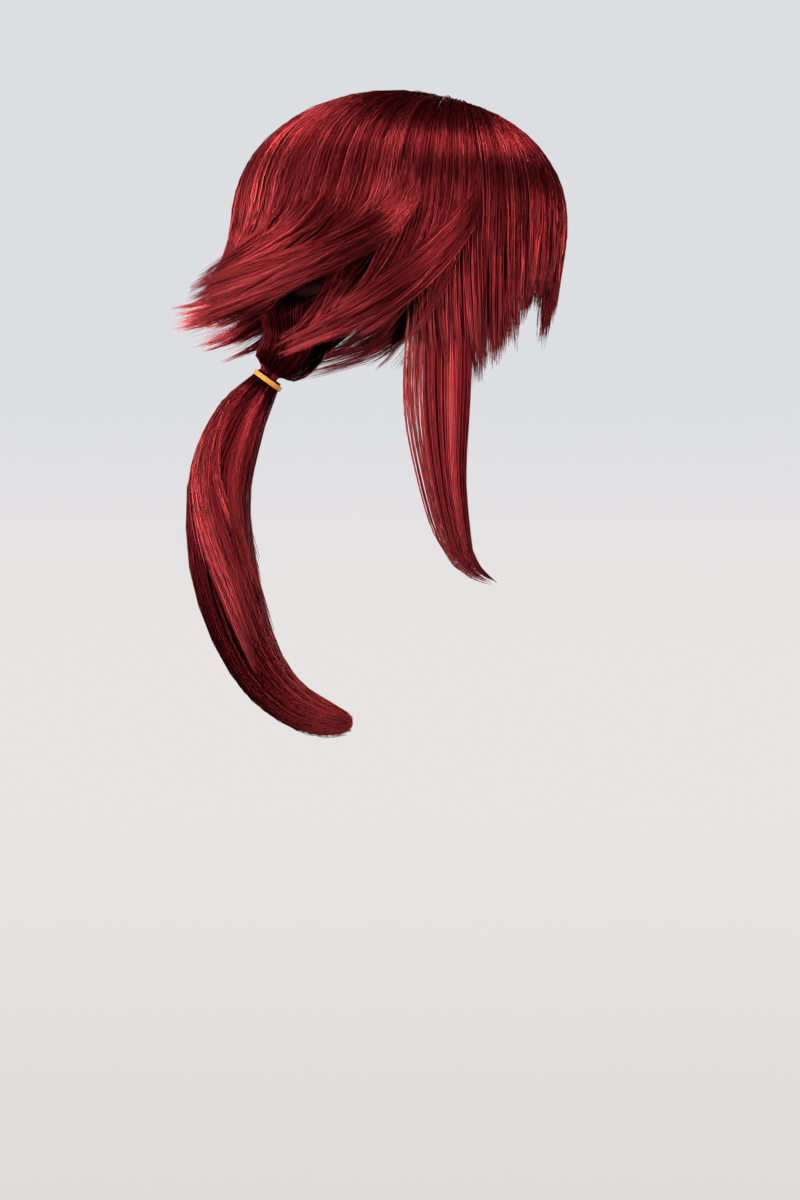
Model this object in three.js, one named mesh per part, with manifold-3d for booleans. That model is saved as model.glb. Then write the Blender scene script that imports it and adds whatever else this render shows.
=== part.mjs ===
// Layered wig with a fringe, flipped back layers, long side locks and a low ponytail.
// Millimetres, +Z up, the face looks towards -Y, and the wearer's right side is -X.
// The origin is the inside top of the cap, where the head's crown touches it.
import * as THREE from 'three';
import { mergeVertices } from 'three/addons/utils/BufferGeometryUtils.js';
import Module from 'manifold-3d';

const wasm = await Module();
wasm.setup();
const radians = THREE.MathUtils.degToRad;
const lerp = THREE.MathUtils.lerp;

// The head that the cap fits: half sizes of an ellipsoid, with a deeper lower half.
const HEAD = { halfWidth: 76, halfLength: 95, rise: 72, drop: 138 };
// Heights above the scalp of the cap's cloth, the hair backing and the lock centres.
const CAP_WALL = 1.5;
const SEAT_GAP = 1.1;
const ROOT_LIFT = CAP_WALL + SEAT_GAP;
const CROWN_BACKING_LIFT = 7.6;
const FRINGE_BACKING_LIFT = 5.6;
const CROWN_BACKING_Z = -86;
const FRINGE_BACKING_Z = -80;
const LOCK_LIFT = 11.1;
const LOCK_HALF_THICK = 3.7;
const UNDER_LIFT = 4;
const UNDER_HALF_THICK = 1.9;
// The whorl that the top hair grows from, and the crosswise parting through it.
const WHORL_Y = -42;
const PART_GAP = 0.4;
const TIE = { y: 86, z: -178, radius: 10.3, wire: 1.7, neck: 8.1, neckTop: 3.4, neckFoot: 3.2 };
// The tail leaves the tie down and backwards, this far from straight down.
const TIE_LEAN = radians(36);

// How finely each kind of piece is faceted: sides round it and rows along it.
const DOME_FACETS = { sides: 24, rows: 7 };
const CAP_FACETS = { sides: 24, rows: 9 };
const LOCK_SIDES = 6;
const TOP_LOCK_FREE_ROWS = 6;
const BACK_LOCK_ROWS = 8;
const GATHER_ROWS = 7;
const SIDE_LOCK_FACETS = { sides: 8, rows: 13 };
const TAIL_FACETS = { sides: 10, rows: 17 };
const TAIL_LOCK_ROWS = 8;
const TIE_FACETS = { sides: 8, rows: 18 };

const COLOURS = { hair: 0x7d1220, under: 0x640d19, net: 0x3a0e14, elastic: 0xe9a23b };

// The cap's lower edge: height by angle from the front, the same on both sides.
const CAP_RIM = [
  { azimuth: 0, z: -56 },
  { azimuth: 45, z: -78 },
  { azimuth: 75, z: -106 },
  { azimuth: 100, z: -110 },
  { azimuth: 125, z: -148 },
  { azimuth: 180, z: -166 },
];

// A lock from the whorl over the dome: share of the way, height, and shares of its full section.
const CROWN_STATIONS = [
  { reach: 0.05, lift: 4.5, wide: 0.25, thick: 0.6 },
  { reach: 0.2, lift: 7.1, wide: 0.62, thick: 0.85 },
  { reach: 0.45, lift: 8.2, wide: 1, thick: 0.9 },
  { reach: 0.72, lift: 9.4, wide: 1.05, thick: 0.95 },
  { reach: 1, lift: LOCK_LIFT, wide: 1, thick: 0.95 },
];
const FRINGE_STATIONS = [
  { reach: 0.14, lift: 5, wide: 0.4, thick: 0.5 },
  { reach: 0.45, lift: 6.8, wide: 1, thick: 0.75 },
  { reach: 0.72, lift: 8.8, wide: 1.05, thick: 1 },
  { reach: 1, lift: LOCK_LIFT, wide: 1, thick: 0.95 },
];
// A lock of the lower row starts on the cap just above the place where it leaves the head.
const UNDER_STATIONS = [
  { reach: 0, lift: UNDER_LIFT, wide: 0.85, thick: 0.9 },
  { reach: 0.5, lift: UNDER_LIFT, wide: 1, thick: 1 },
  { reach: 1, lift: UNDER_LIFT, wide: 1, thick: 1 },
];
// The free end: the fringe tucks in early, and the flips at the back flare out late.
const TUCK_STATIONS = [
  { reach: 0.5, flare: 0.75, turn: 0.45, wide: 0.84, thick: 0.9 },
  { reach: 0.82, flare: 0.95, turn: 0.8, wide: 0.5, thick: 0.6 },
  { reach: 1, flare: 1, turn: 1, wide: 0.08, thick: 0.2 },
];
const FLIP_STATIONS = [
  { reach: 0.5, flare: 0.3, turn: 0.45, wide: 0.84, thick: 0.9 },
  { reach: 0.82, flare: 0.7, turn: 0.8, wide: 0.5, thick: 0.6 },
  { reach: 1, flare: 1, turn: 1, wide: 0.08, thick: 0.2 },
];

// Locks on the wearer's right: where each leaves the head, and where its tip is.
// out is the distance outside the head's widest ring.
const FRINGE_CENTRE = { azimuth: 0, leaveZ: -82, tipAzimuth: 1, tipOut: -1, tipZ: -151, half: 13 };
const FRINGE_LOCKS = [
  { azimuth: 13, leaveZ: -80, tipAzimuth: 12, tipOut: 5, tipZ: -131, half: 11 },
  { azimuth: 26, leaveZ: -80, tipAzimuth: 29, tipOut: 6, tipZ: -124, half: 12 },
  { azimuth: 38, leaveZ: -82, tipAzimuth: 39, tipOut: 6, tipZ: -141, half: 12 },
  { azimuth: 49, leaveZ: -84, tipAzimuth: 47, tipOut: 6, tipZ: -160, half: 12 },
  { azimuth: 59, leaveZ: -86, tipAzimuth: 55, tipOut: 7, tipZ: -176, half: 12 },
  { azimuth: 68, leaveZ: -86, tipAzimuth: 62, tipOut: 11, tipZ: -186, half: 11 },
];
const CROWN_CENTRE = { azimuth: 180, leaveZ: -80, tipAzimuth: 180, tipOut: 30, tipZ: -113, half: 15 };
const CROWN_LOCKS = [
  { azimuth: 70, leaveZ: -88, tipAzimuth: 78, tipOut: 10, tipZ: -168, half: 14 },
  { azimuth: 82, leaveZ: -88, tipAzimuth: 93, tipOut: 10, tipZ: -165, half: 15 },
  { azimuth: 95, leaveZ: -88, tipAzimuth: 110, tipOut: 11, tipZ: -160, half: 15 },
  { azimuth: 109, leaveZ: -86, tipAzimuth: 127, tipOut: 17, tipZ: -148, half: 15 },
  { azimuth: 124, leaveZ: -84, tipAzimuth: 141, tipOut: 27, tipZ: -137, half: 15 },
  { azimuth: 139, leaveZ: -82, tipAzimuth: 152, tipOut: 33, tipZ: -127, half: 15 },
  { azimuth: 153, leaveZ: -80, tipAzimuth: 163, tipOut: 35, tipZ: -121, half: 14 },
  { azimuth: 167, leaveZ: -80, tipAzimuth: 172, tipOut: 33, tipZ: -116, half: 14 },
];
const BACK_CENTRE = {
  azimuth: 180, rootZ: -94, leaveZ: -112, tipAzimuth: 180, tipOut: 47, tipZ: -141, half: 15,
};
const BACK_LOCKS = [
  { azimuth: 112, rootZ: -94, leaveZ: -122, tipAzimuth: 133, tipOut: 7, tipZ: -170, half: 14 },
  { azimuth: 126, rootZ: -94, leaveZ: -120, tipAzimuth: 144, tipOut: 22, tipZ: -163, half: 14 },
  { azimuth: 140, rootZ: -94, leaveZ: -116, tipAzimuth: 153, tipOut: 42, tipZ: -154, half: 14 },
  { azimuth: 154, rootZ: -94, leaveZ: -113, tipAzimuth: 163, tipOut: 53, tipZ: -148, half: 14 },
  { azimuth: 168, rootZ: -94, leaveZ: -112, tipAzimuth: 173, tipOut: 51, tipZ: -144, half: 14 },
];
// Nape locks: where each starts on the cap, where it leaves the head,
// and how far it bows outwards and sags on its way to the tie.
const GATHER_CENTRE = { azimuth: 180, rootZ: -130, leaveZ: -142, bow: 6, sag: 0, half: 13 };
const GATHER_LOCKS = [
  { azimuth: 163, rootZ: -132, leaveZ: -145, bow: 5, sag: 0, half: 12 },
  { azimuth: 147, rootZ: -135, leaveZ: -150, bow: 4, sag: 2, half: 12 },
  { azimuth: 132, rootZ: -138, leaveZ: -155, bow: 3, sag: 5, half: 12 },
  { azimuth: 121, rootZ: -136, leaveZ: -158, bow: 1, sag: 7, half: 11 },
];
const GATHER_LIFT = 4.2;
const GATHER_HALF_THICK = 2.3;
// The round neck of the gathered hair: share of its radius at which a lock runs, and the lock's own share.
const NECK = { runAt: 0.42, lock: 0.57, above: 7, past: 4 };

// The right side lock, from its seat on the cap to the tip that curls towards the face.
const SIDE_LOCK = [
  { azimuth: 82, out: -2, z: -92, wide: 11, thick: 1.4 },
  { azimuth: 77, out: -0.8, z: -125, wide: 17, thick: 1.8 },
  { azimuth: 77, out: 0.2, z: -165, wide: 20, thick: 2.2 },
  { azimuth: 77, out: 0.4, z: -200, wide: 19, thick: 3 },
  { azimuth: 75, out: 0, z: -242, wide: 13.5, thick: 3 },
  { azimuth: 71, out: 0, z: -276, wide: 10, thick: 2.6 },
  { azimuth: 66, out: 0, z: -294, wide: 5.5, thick: 1.8 },
  { azimuth: 57, out: 1, z: -305, wide: 1.2, thick: 0.8 },
];

// The tail below the tie: its middle line in the Y-Z plane, half depth there and half breadth across it.
const TAIL = [
  { y: 99, z: -195, deep: 14.5, broad: 13 },
  { y: 109, z: -216, deep: 18.5, broad: 18 },
  { y: 117, z: -240, deep: 20.5, broad: 22 },
  { y: 118.5, z: -266, deep: 21, broad: 24 },
  { y: 116, z: -294, deep: 22, broad: 24 },
  { y: 110, z: -322, deep: 21, broad: 23 },
  { y: 100, z: -350, deep: 19, broad: 20 },
  { y: 86, z: -374, deep: 16.5, broad: 17 },
  { y: 68, z: -390, deep: 14, broad: 14 },
  { y: 51, z: -398, deep: 12, broad: 11 },
  { y: 38, z: -401, deep: 7.5, broad: 6.5 },
  { y: 32.5, z: -401.5, deep: 1.5, broad: 1.5 },
];
// Locks that stand on the tail's surface: degrees round it from the back, sections covered, half width.
const TAIL_LOCKS = [
  { around: 20, sections: 10, half: 12 },
  { around: 92, sections: 9, half: 12 },
  { around: -64, sections: 10, half: 12 },
  { around: -135, sections: 6, half: 11 },
];
const TAIL_LOCK_HALF_THICK = 4;
const TAIL_LOCK_DEPTH = 0.9;
const TAIL_BROADEST = Math.max(...TAIL.map((row) => row.broad));

const headCentreZ = -HEAD.rise;

// Unit-sphere direction of the scalp point at an angle from the front and a height.
function scalpDirection(azimuth, z) {
  const up = (z - headCentreZ) / (z > headCentreZ ? HEAD.rise : HEAD.drop);
  const level = Math.sqrt(1 - up * up);
  return new THREE.Vector3(-level * Math.sin(radians(azimuth)), -level * Math.cos(radians(azimuth)), up);
}

// The point over that direction, lifted off the scalp.
function overScalp(direction, lift) {
  const height = (direction.z > 0 ? HEAD.rise : HEAD.drop) + lift;
  return new THREE.Vector3(
    direction.x * (HEAD.halfWidth + lift),
    direction.y * (HEAD.halfLength + lift),
    headCentreZ + direction.z * height,
  );
}

// A point beside the head: out is measured from the head's widest ring.
function besideHead(azimuth, out, z) {
  return new THREE.Vector3(
    -(HEAD.halfWidth + out) * Math.sin(radians(azimuth)),
    -(HEAD.halfLength + out) * Math.cos(radians(azimuth)),
    z,
  );
}

function outwardAt(point) {
  const drop = point.z > headCentreZ ? HEAD.rise : HEAD.drop;
  return new THREE.Vector3(
    point.x / HEAD.halfWidth ** 2,
    point.y / HEAD.halfLength ** 2,
    (point.z - headCentreZ) / drop ** 2,
  ).normalize();
}

// Great-circle step between two directions on the unit sphere.
function between(start, end, share) {
  const angle = start.angleTo(end);
  const first = start.clone().multiplyScalar(Math.sin((1 - share) * angle) / Math.sin(angle));
  return first.addScaledVector(end, Math.sin(share * angle) / Math.sin(angle));
}

// Value of a table's column at a share of its length.
function along(table, column, share) {
  const place = share * (table.length - 1);
  const row = Math.min(Math.floor(place), table.length - 2);
  return lerp(table[row][column], table[row + 1][column], place - row);
}

function bare(geometry) {
  geometry.deleteAttribute('normal');
  geometry.deleteAttribute('uv');
  return mergeVertices(geometry, 1e-4);
}

// A lock of hair: a sphere's rows laid along a curve, with an elliptical section in each row.
// Stations hold the middle point and the half sizes; outward is the way its broad face looks.
function lockGeometry(stations, outward, { sides, rows }) {
  const curve = new THREE.CatmullRomCurve3(stations.map((station) => station.at), false, 'centripetal');
  const geometry = new THREE.SphereGeometry(1, sides, rows);
  const place = geometry.attributes.position;
  const face = outward.clone();
  for (let row = 0; row <= rows; row += 1) {
    const share = THREE.MathUtils.clamp((row - 1) / (rows - 2), 0, 1);
    const middle = curve.getPoint(share);
    const forward = curve.getTangent(share);
    face.addScaledVector(forward, -face.dot(forward)).normalize();
    const edge = face.clone().cross(forward);
    const open = row === 0 || row === rows ? 0 : 1;
    for (let side = 0; side <= sides; side += 1) {
      const turn = (2 * Math.PI * side) / sides;
      const point = middle.clone();
      point.addScaledVector(edge, -open * Math.cos(turn) * along(stations, 'wide', share));
      point.addScaledVector(face, open * Math.sin(turn) * along(stations, 'thick', share));
      place.setXYZ(row * (sides + 1) + side, point.x, point.y, point.z);
    }
  }
  return bare(geometry);
}

function mirrored(geometry) {
  const copy = geometry.clone().scale(-1, 1, 1);
  const index = copy.index.array;
  for (let corner = 0; corner < index.length; corner += 3) {
    [index[corner], index[corner + 1]] = [index[corner + 1], index[corner]];
  }
  return copy;
}

// A dome wall between two lifts: a sphere's rows run down the outside and back up the inside.
function domeWall(innerLift, outerLift, lowEdge, { sides, rows }) {
  const geometry = new THREE.SphereGeometry(1, sides, 2 * rows + 1);
  const place = geometry.attributes.position;
  for (let row = 0; row <= 2 * rows + 1; row += 1) {
    const outside = row <= rows;
    const share = (outside ? row : 2 * rows + 1 - row) / rows;
    for (let side = 0; side <= sides; side += 1) {
      const azimuth = 90 - (360 * side) / sides;
      const tilt = share * Math.acos(scalpDirection(azimuth, lowEdge(azimuth)).z);
      const direction = new THREE.Vector3(
        -Math.sin(tilt) * Math.sin(radians(azimuth)),
        -Math.sin(tilt) * Math.cos(radians(azimuth)),
        Math.cos(tilt),
      );
      const point = overScalp(direction, outside ? outerLift : innerLift);
      place.setXYZ(row * (sides + 1) + side, point.x, point.y, point.z);
    }
  }
  return bare(geometry);
}

function capRim(azimuth) {
  const turned = ((azimuth % 360) + 360) % 360;
  const angle = turned > 180 ? 360 - turned : turned;
  const row = Math.max(CAP_RIM.findIndex((step) => step.azimuth >= angle), 1);
  const [low, high] = [CAP_RIM[row - 1], CAP_RIM[row]];
  const share = THREE.MathUtils.smoothstep(angle, low.azimuth, high.azimuth);
  return lerp(low.z, high.z, share);
}

function solid(geometry) {
  return new wasm.Manifold(new wasm.Mesh({
    numProp: 3,
    vertProperties: new Float32Array(geometry.attributes.position.array),
    triVerts: new Uint32Array(geometry.index.array),
  }));
}

function fuse(geometries) {
  return geometries.map(solid).reduce((whole, next) => whole.add(next));
}

// The largest body of a boolean result, without the slivers that it may leave.
function geometryOf(result) {
  const largest = result.decompose().reduce((best, next) => (next.volume() > best.volume() ? next : best));
  const mesh = largest.getMesh();
  const geometry = new THREE.BufferGeometry();
  geometry.setAttribute('position', new THREE.BufferAttribute(new Float32Array(mesh.vertProperties), 3));
  geometry.setIndex(new THREE.BufferAttribute(new Uint32Array(mesh.triVerts), 1));
  geometry.computeVertexNormals();
  return geometry;
}

// The free end of a lock: from the place where it leaves the head, out and down to its tip.
function freeStations(steps, lock, leaveOut, halfThick) {
  return steps.map((step) => ({
    at: besideHead(
      lerp(lock.azimuth, lock.tipAzimuth, step.turn),
      lerp(leaveOut, lock.tipOut, step.flare),
      lerp(lock.leaveZ, lock.tipZ, step.reach),
    ),
    wide: step.wide * lock.half,
    thick: step.thick * halfThick,
  }));
}

function headStations(steps, start, end, half, halfThick) {
  return steps.map((step) => ({
    at: overScalp(between(start, end, step.reach), step.lift),
    wide: step.wide * half,
    thick: step.thick * halfThick,
  }));
}

function topLock(lock, headSteps, freeSteps) {
  const rows = headSteps.length + TOP_LOCK_FREE_ROWS;
  const whorlLevel = WHORL_Y / (HEAD.halfLength + LOCK_LIFT);
  const whorl = new THREE.Vector3(0, whorlLevel, Math.sqrt(1 - whorlLevel ** 2));
  const end = scalpDirection(lock.azimuth, lock.leaveZ);
  const onHead = headStations(headSteps, whorl, end, lock.half, LOCK_HALF_THICK);
  const stations = [...onHead, ...freeStations(freeSteps, lock, LOCK_LIFT, LOCK_HALF_THICK)];
  return lockGeometry(stations, outwardAt(stations[0].at), { sides: LOCK_SIDES, rows });
}

function underLock(lock) {
  const start = scalpDirection(lock.azimuth, lock.rootZ);
  const end = scalpDirection(lock.azimuth, lock.leaveZ);
  const onHead = headStations(UNDER_STATIONS, start, end, lock.half, UNDER_HALF_THICK);
  const last = onHead.at(-1).at;
  const leaveOut = (Math.hypot(last.x / HEAD.halfWidth, last.y / HEAD.halfLength) - 1) * HEAD.halfLength;
  const free = freeStations(FLIP_STATIONS, lock, leaveOut, LOCK_HALF_THICK);
  const stations = [...onHead, ...free];
  return lockGeometry(stations, outwardAt(stations[0].at), { sides: LOCK_SIDES, rows: BACK_LOCK_ROWS });
}

function backGeometry() {
  return geometryOf(fuse(bothSides(BACK_LOCKS, underLock, [BACK_CENTRE])));
}

// One nape lock, down the cap and then back into the round neck that the tie holds.
function gatherLock(lock) {
  const start = overScalp(scalpDirection(lock.azimuth, lock.rootZ), GATHER_LIFT);
  const leaveAzimuth = lerp(lock.azimuth, 180, 0.2);
  const leave = overScalp(scalpDirection(leaveAzimuth, lock.leaveZ), 1.35 * GATHER_LIFT);
  const entry = onTieAxis(TIE.neckTop);
  const axis = onTieAxis(1).sub(onTieAxis(0));
  const towards = leave.clone().sub(entry);
  towards.addScaledVector(axis, -towards.dot(axis)).setLength(NECK.runAt * TIE.neck);
  const neck = entry.clone().addScaledVector(axis, NECK.above).add(towards);
  const past = entry.clone().addScaledVector(axis, -NECK.past).add(towards);
  const middle = leave.clone().lerp(neck, 0.55).addScaledVector(outwardAt(start), lock.bow);
  middle.z -= lock.sag;
  const stations = [
    { at: start, wide: lock.half, thick: GATHER_HALF_THICK },
    { at: leave, wide: 0.95 * lock.half, thick: 1.3 * GATHER_HALF_THICK },
    { at: middle, wide: 0.65 * lock.half, thick: 1.6 * GATHER_HALF_THICK },
    { at: neck, wide: NECK.lock * TIE.neck, thick: NECK.lock * TIE.neck },
    { at: past, wide: NECK.lock * TIE.neck, thick: NECK.lock * TIE.neck },
  ];
  return lockGeometry(stations, outwardAt(start), { sides: LOCK_SIDES, rows: GATHER_ROWS });
}

// The nape locks fused into one neck, cut square where the tie holds it.
function gatherGeometry() {
  const size = 80;
  const below = new THREE.BoxGeometry(size, size, size);
  below.rotateX(TIE_LEAN);
  const centre = onTieAxis(TIE.neckTop - 0.5 * size);
  below.translate(centre.x, centre.y, centre.z);
  const locks = fuse(bothSides(GATHER_LOCKS, gatherLock, [GATHER_CENTRE]));
  return geometryOf(locks.subtract(solid(bare(below))));
}

// A point on the tie's axis, so far above the tie along the tail's own direction.
function onTieAxis(above) {
  const point = new THREE.Vector3(0, 0, above).applyAxisAngle(new THREE.Vector3(1, 0, 0), TIE_LEAN);
  return point.add(new THREE.Vector3(0, TIE.y, TIE.z));
}

function bothSides(locks, make, centres) {
  const right = locks.map(make);
  return [...centres.map(make), ...right, ...right.map(mirrored)];
}

// The half of the dome in front of the parting, or behind it.
function besideParting(front) {
  const size = 600;
  const edge = WHORL_Y + (front ? -0.5 : 0.5) * PART_GAP;
  const block = new THREE.BoxGeometry(size, size, size);
  block.translate(0, edge + (front ? -0.5 : 0.5) * size, 0);
  return solid(bare(block));
}

function crownGeometry() {
  const backing = domeWall(ROOT_LIFT, CROWN_BACKING_LIFT, () => CROWN_BACKING_Z, DOME_FACETS);
  const make = (lock) => topLock(lock, CROWN_STATIONS, FLIP_STATIONS);
  const locks = bothSides(CROWN_LOCKS, make, [CROWN_CENTRE]);
  return geometryOf(fuse([backing, ...locks]).intersect(besideParting(false)));
}

function fringeGeometry() {
  const backing = domeWall(ROOT_LIFT, FRINGE_BACKING_LIFT, () => FRINGE_BACKING_Z, DOME_FACETS);
  const make = (lock) => topLock(lock, FRINGE_STATIONS, TUCK_STATIONS);
  const locks = bothSides(FRINGE_LOCKS, make, [FRINGE_CENTRE]);
  return geometryOf(fuse([backing, ...locks]).intersect(besideParting(true)));
}

function sideLockGeometry() {
  const stations = SIDE_LOCK.map((row) => ({
    at: besideHead(row.azimuth, row.out + UNDER_LIFT, row.z),
    wide: row.wide,
    thick: row.thick,
  }));
  return lockGeometry(stations, new THREE.Vector3(-1, 0, 0), SIDE_LOCK_FACETS);
}

// One lock on the tail's surface, between two of its sections.
function tailLock(lock) {
  const backwards = Math.cos(radians(lock.around));
  const sidewards = Math.sin(radians(lock.around));
  const rows = TAIL.slice(0, lock.sections);
  const stations = rows.map((row, place) => {
    const fade = 1 - (place / (rows.length - 1)) ** 3;
    return {
      at: new THREE.Vector3(sidewards * row.broad, row.y + TAIL_LOCK_DEPTH * backwards * row.deep, row.z),
      wide: Math.max(lock.half * fade * (row.broad / TAIL_BROADEST), 0.8),
      thick: Math.max(TAIL_LOCK_HALF_THICK * fade, 0.6),
    };
  });
  const outward = new THREE.Vector3(sidewards, backwards, 0);
  return lockGeometry(stations, outward, { sides: LOCK_SIDES, rows: TAIL_LOCK_ROWS });
}

function tailGeometry() {
  const core = [
    { at: onTieAxis(TIE.neckTop - PART_GAP), wide: TIE.neck, thick: TIE.neck },
    { at: onTieAxis(-TIE.neckFoot), wide: TIE.neck, thick: TIE.neck },
    ...TAIL.map((row) => ({ at: new THREE.Vector3(0, row.y, row.z), wide: row.broad, thick: row.deep })),
  ];
  const body = lockGeometry(core, new THREE.Vector3(0, 1, 0), TAIL_FACETS);
  return geometryOf(fuse([body, ...TAIL_LOCKS.map(tailLock)]));
}

function softMaterial(colour, roughness) {
  return new THREE.MeshStandardMaterial({ color: colour, roughness, metalness: 0 });
}

function named(name, geometry, material) {
  const mesh = new THREE.Mesh(geometry, material);
  mesh.name = name;
  return mesh;
}

const wig = new THREE.Group();
const topMaterial = softMaterial(COLOURS.hair, 0.42);
const underMaterial = softMaterial(COLOURS.under, 0.42);
const netMaterial = softMaterial(COLOURS.net, 0.9);
const elasticMaterial = softMaterial(COLOURS.elastic, 0.7);

wig.add(named('wig_cap', domeWall(0, CAP_WALL, capRim, CAP_FACETS), netMaterial));
wig.add(named('crown_hair', crownGeometry(), topMaterial));
wig.add(named('fringe', fringeGeometry(), topMaterial));
wig.add(named('back_layer', backGeometry(), underMaterial));
wig.add(named('side_lock_right', sideLockGeometry(), topMaterial));
wig.add(named('side_lock_left', mirrored(sideLockGeometry()), topMaterial));
wig.add(named('nape_gather', gatherGeometry(), underMaterial));
wig.add(named('ponytail', tailGeometry(), topMaterial));

const ring = new THREE.TorusGeometry(TIE.radius, TIE.wire, TIE_FACETS.sides, TIE_FACETS.rows);
const tie = named('hair_tie', bare(ring), elasticMaterial);
tie.position.set(0, TIE.y, TIE.z);
tie.rotation.x = TIE_LEAN;
wig.add(tie);

export default wig;
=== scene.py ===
"""Looks of a layered wig with a low ponytail: hair strands, cap, hair tie and a plain studio.

Metres, +Z up, the front looks towards -Y and the wearer's right side is -X. The origin is the
inside top of the cap. Angles round the cap are in degrees from the front, positive on the right.
"""

import math
from collections import namedtuple

import bmesh
import bpy
import numpy as np
from mathutils import Matrix, Vector


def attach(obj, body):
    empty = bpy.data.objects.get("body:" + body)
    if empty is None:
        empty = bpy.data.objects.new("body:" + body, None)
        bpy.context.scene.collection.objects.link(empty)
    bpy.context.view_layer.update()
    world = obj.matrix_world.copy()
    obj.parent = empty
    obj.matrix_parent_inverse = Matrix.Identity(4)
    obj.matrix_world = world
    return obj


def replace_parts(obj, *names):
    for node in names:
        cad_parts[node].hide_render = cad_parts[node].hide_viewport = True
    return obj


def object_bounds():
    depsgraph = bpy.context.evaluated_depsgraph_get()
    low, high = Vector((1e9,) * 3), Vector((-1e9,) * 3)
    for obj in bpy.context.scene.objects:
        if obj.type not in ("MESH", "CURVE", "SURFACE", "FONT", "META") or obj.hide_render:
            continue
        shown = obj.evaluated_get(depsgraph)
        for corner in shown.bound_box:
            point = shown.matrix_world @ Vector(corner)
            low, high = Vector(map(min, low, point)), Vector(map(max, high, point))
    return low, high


bl_info = {
    "name": "Layered wig looks",
    "version": (1, 0, 0),
    "blender": (4, 5, 0),
    "location": "View3D > Sidebar > Wig",
    "description": "Lays the hair, cap finish, hair tie and studio of a wig round its solids",
    "category": "Object",
}

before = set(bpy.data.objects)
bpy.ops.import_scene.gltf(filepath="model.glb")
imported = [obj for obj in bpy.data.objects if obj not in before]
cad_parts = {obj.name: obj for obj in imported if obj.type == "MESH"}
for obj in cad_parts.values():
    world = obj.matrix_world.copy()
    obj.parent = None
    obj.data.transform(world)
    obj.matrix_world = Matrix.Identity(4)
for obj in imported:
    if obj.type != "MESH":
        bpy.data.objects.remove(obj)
CAD_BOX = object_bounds()
RIGHT = 1
LEFT = -1

# The inside of the cap: half sizes of an ellipsoid with a deeper lower half.
CAP_HALF_WIDTH = 0.076
CAP_HALF_LENGTH = 0.095
CAP_RISE = 0.072
CAP_DROP = 0.138
# Heights of the middle of each layer of hair over the inside of the cap, and its half thickness.
LOCK_LIFT = 0.0111
LOCK_HALF_THICK = 0.0037
UNDER_LIFT = 0.004
UNDER_HALF_THICK = 0.0019
GATHER_LIFT = 0.0042
GATHER_HALF_THICK = 0.0023
WHORL_Y = -0.042
CREST_Z = -0.018
# The hair tie and the neck of hair inside it, along the tie's leaning axis.
TIE_CENTRE = Vector((0, 0.086, -0.178))
TIE_LEAN = math.radians(36)
TIE_RADIUS = 0.0103
TIE_HEIGHT = 0.0034
TIE_SINK = 0.0002
TIE_PACKING = 0.86
TIE_FATNESS = 1.15
TIE_SEGMENTS = 10
TIE_STEPS = 56
NECK_RADIUS = 0.0081
NECK_TOP = 0.003
NECK_FOOT = 0.0032

# Where a lock runs over the cap: share of the way, height over its inside, share of its thickness.
CapStep = namedtuple("CapStep", "reach lift thick")
CROWN_STEPS = (
    CapStep(0, 0.004, 0.1), CapStep(0.14, 0.006, 0.3), CapStep(0.28, 0.0074, 0.6),
    CapStep(0.45, 0.0082, 0.9), CapStep(0.72, 0.0094, 0.95), CapStep(1, LOCK_LIFT, 0.95),
)
FRINGE_STEPS = (
    CapStep(0, 0.004, 0.1), CapStep(0.14, 0.006, 0.35), CapStep(0.45, 0.0073, 0.75),
    CapStep(0.72, 0.0088, 1), CapStep(1, LOCK_LIFT, 0.95),
)
UNDER_STEPS = (CapStep(0, UNDER_LIFT, 0.9), CapStep(1, UNDER_LIFT, 1))
# The free end of a lock: shares of its drop, of its way outwards and of its turn round the cap.
FreeStep = namedtuple("FreeStep", "reach drop flare turn thick")
TUCK_STEPS = (
    FreeStep(0, 0, 0, 0, 0.95), FreeStep(0.5, 0.5, 0.75, 0.22, 0.9), FreeStep(0.82, 0.82, 0.95, 0.65, 0.6),
    FreeStep(1, 1, 1, 1, 0.25),
)
FLIP_STEPS = (
    FreeStep(0, 0, 0, 0, 0.95), FreeStep(0.5, 0.6, 0.26, 0.4, 0.9), FreeStep(0.82, 0.91, 0.66, 0.78, 0.6),
    FreeStep(1, 1, 1, 1, 0.25),
)

# Locks of the right side: where each leaves the cap and where its tip is, as in the solids.
Lock = namedtuple("Lock", "azimuth root_z leave_z tip_azimuth tip_out tip_z")
FRINGE_LOCKS = (
    Lock(0, 0, -0.082, 0, -0.001, -0.151), Lock(13, 0, -0.080, 12, 0.005, -0.131),
    Lock(26, 0, -0.080, 29, 0.006, -0.124), Lock(38, 0, -0.082, 39, 0.006, -0.141),
    Lock(49, 0, -0.084, 47, 0.006, -0.160), Lock(59, 0, -0.086, 57, 0.007, -0.176),
    Lock(68, 0, -0.086, 65, 0.009, -0.180),
    Lock(76, 0, -0.088, 74, 0.009, -0.174), Lock(84, 0, -0.088, 82, 0.007, -0.166),
)
CROWN_LOCKS = (
    Lock(70, 0, -0.088, 86, 0.011, -0.164), Lock(80, 0, -0.088, 106, 0.013, -0.157),
    Lock(89, 0, -0.087, 121, 0.015, -0.153), Lock(92, 0, -0.082, 149, 0.034, -0.143),
    Lock(101, 0, -0.082, 157, 0.041, -0.139), Lock(112, 0, -0.082, 161, 0.041, -0.133),
    Lock(126, 0, -0.081, 165, 0.038, -0.128), Lock(139, 0, -0.081, 168, 0.034, -0.125),
    Lock(153, 0, -0.080, 171, 0.033, -0.123), Lock(167, 0, -0.080, 175, 0.031, -0.121),
    Lock(180, 0, -0.080, 180, 0.029, -0.118),
)
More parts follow.
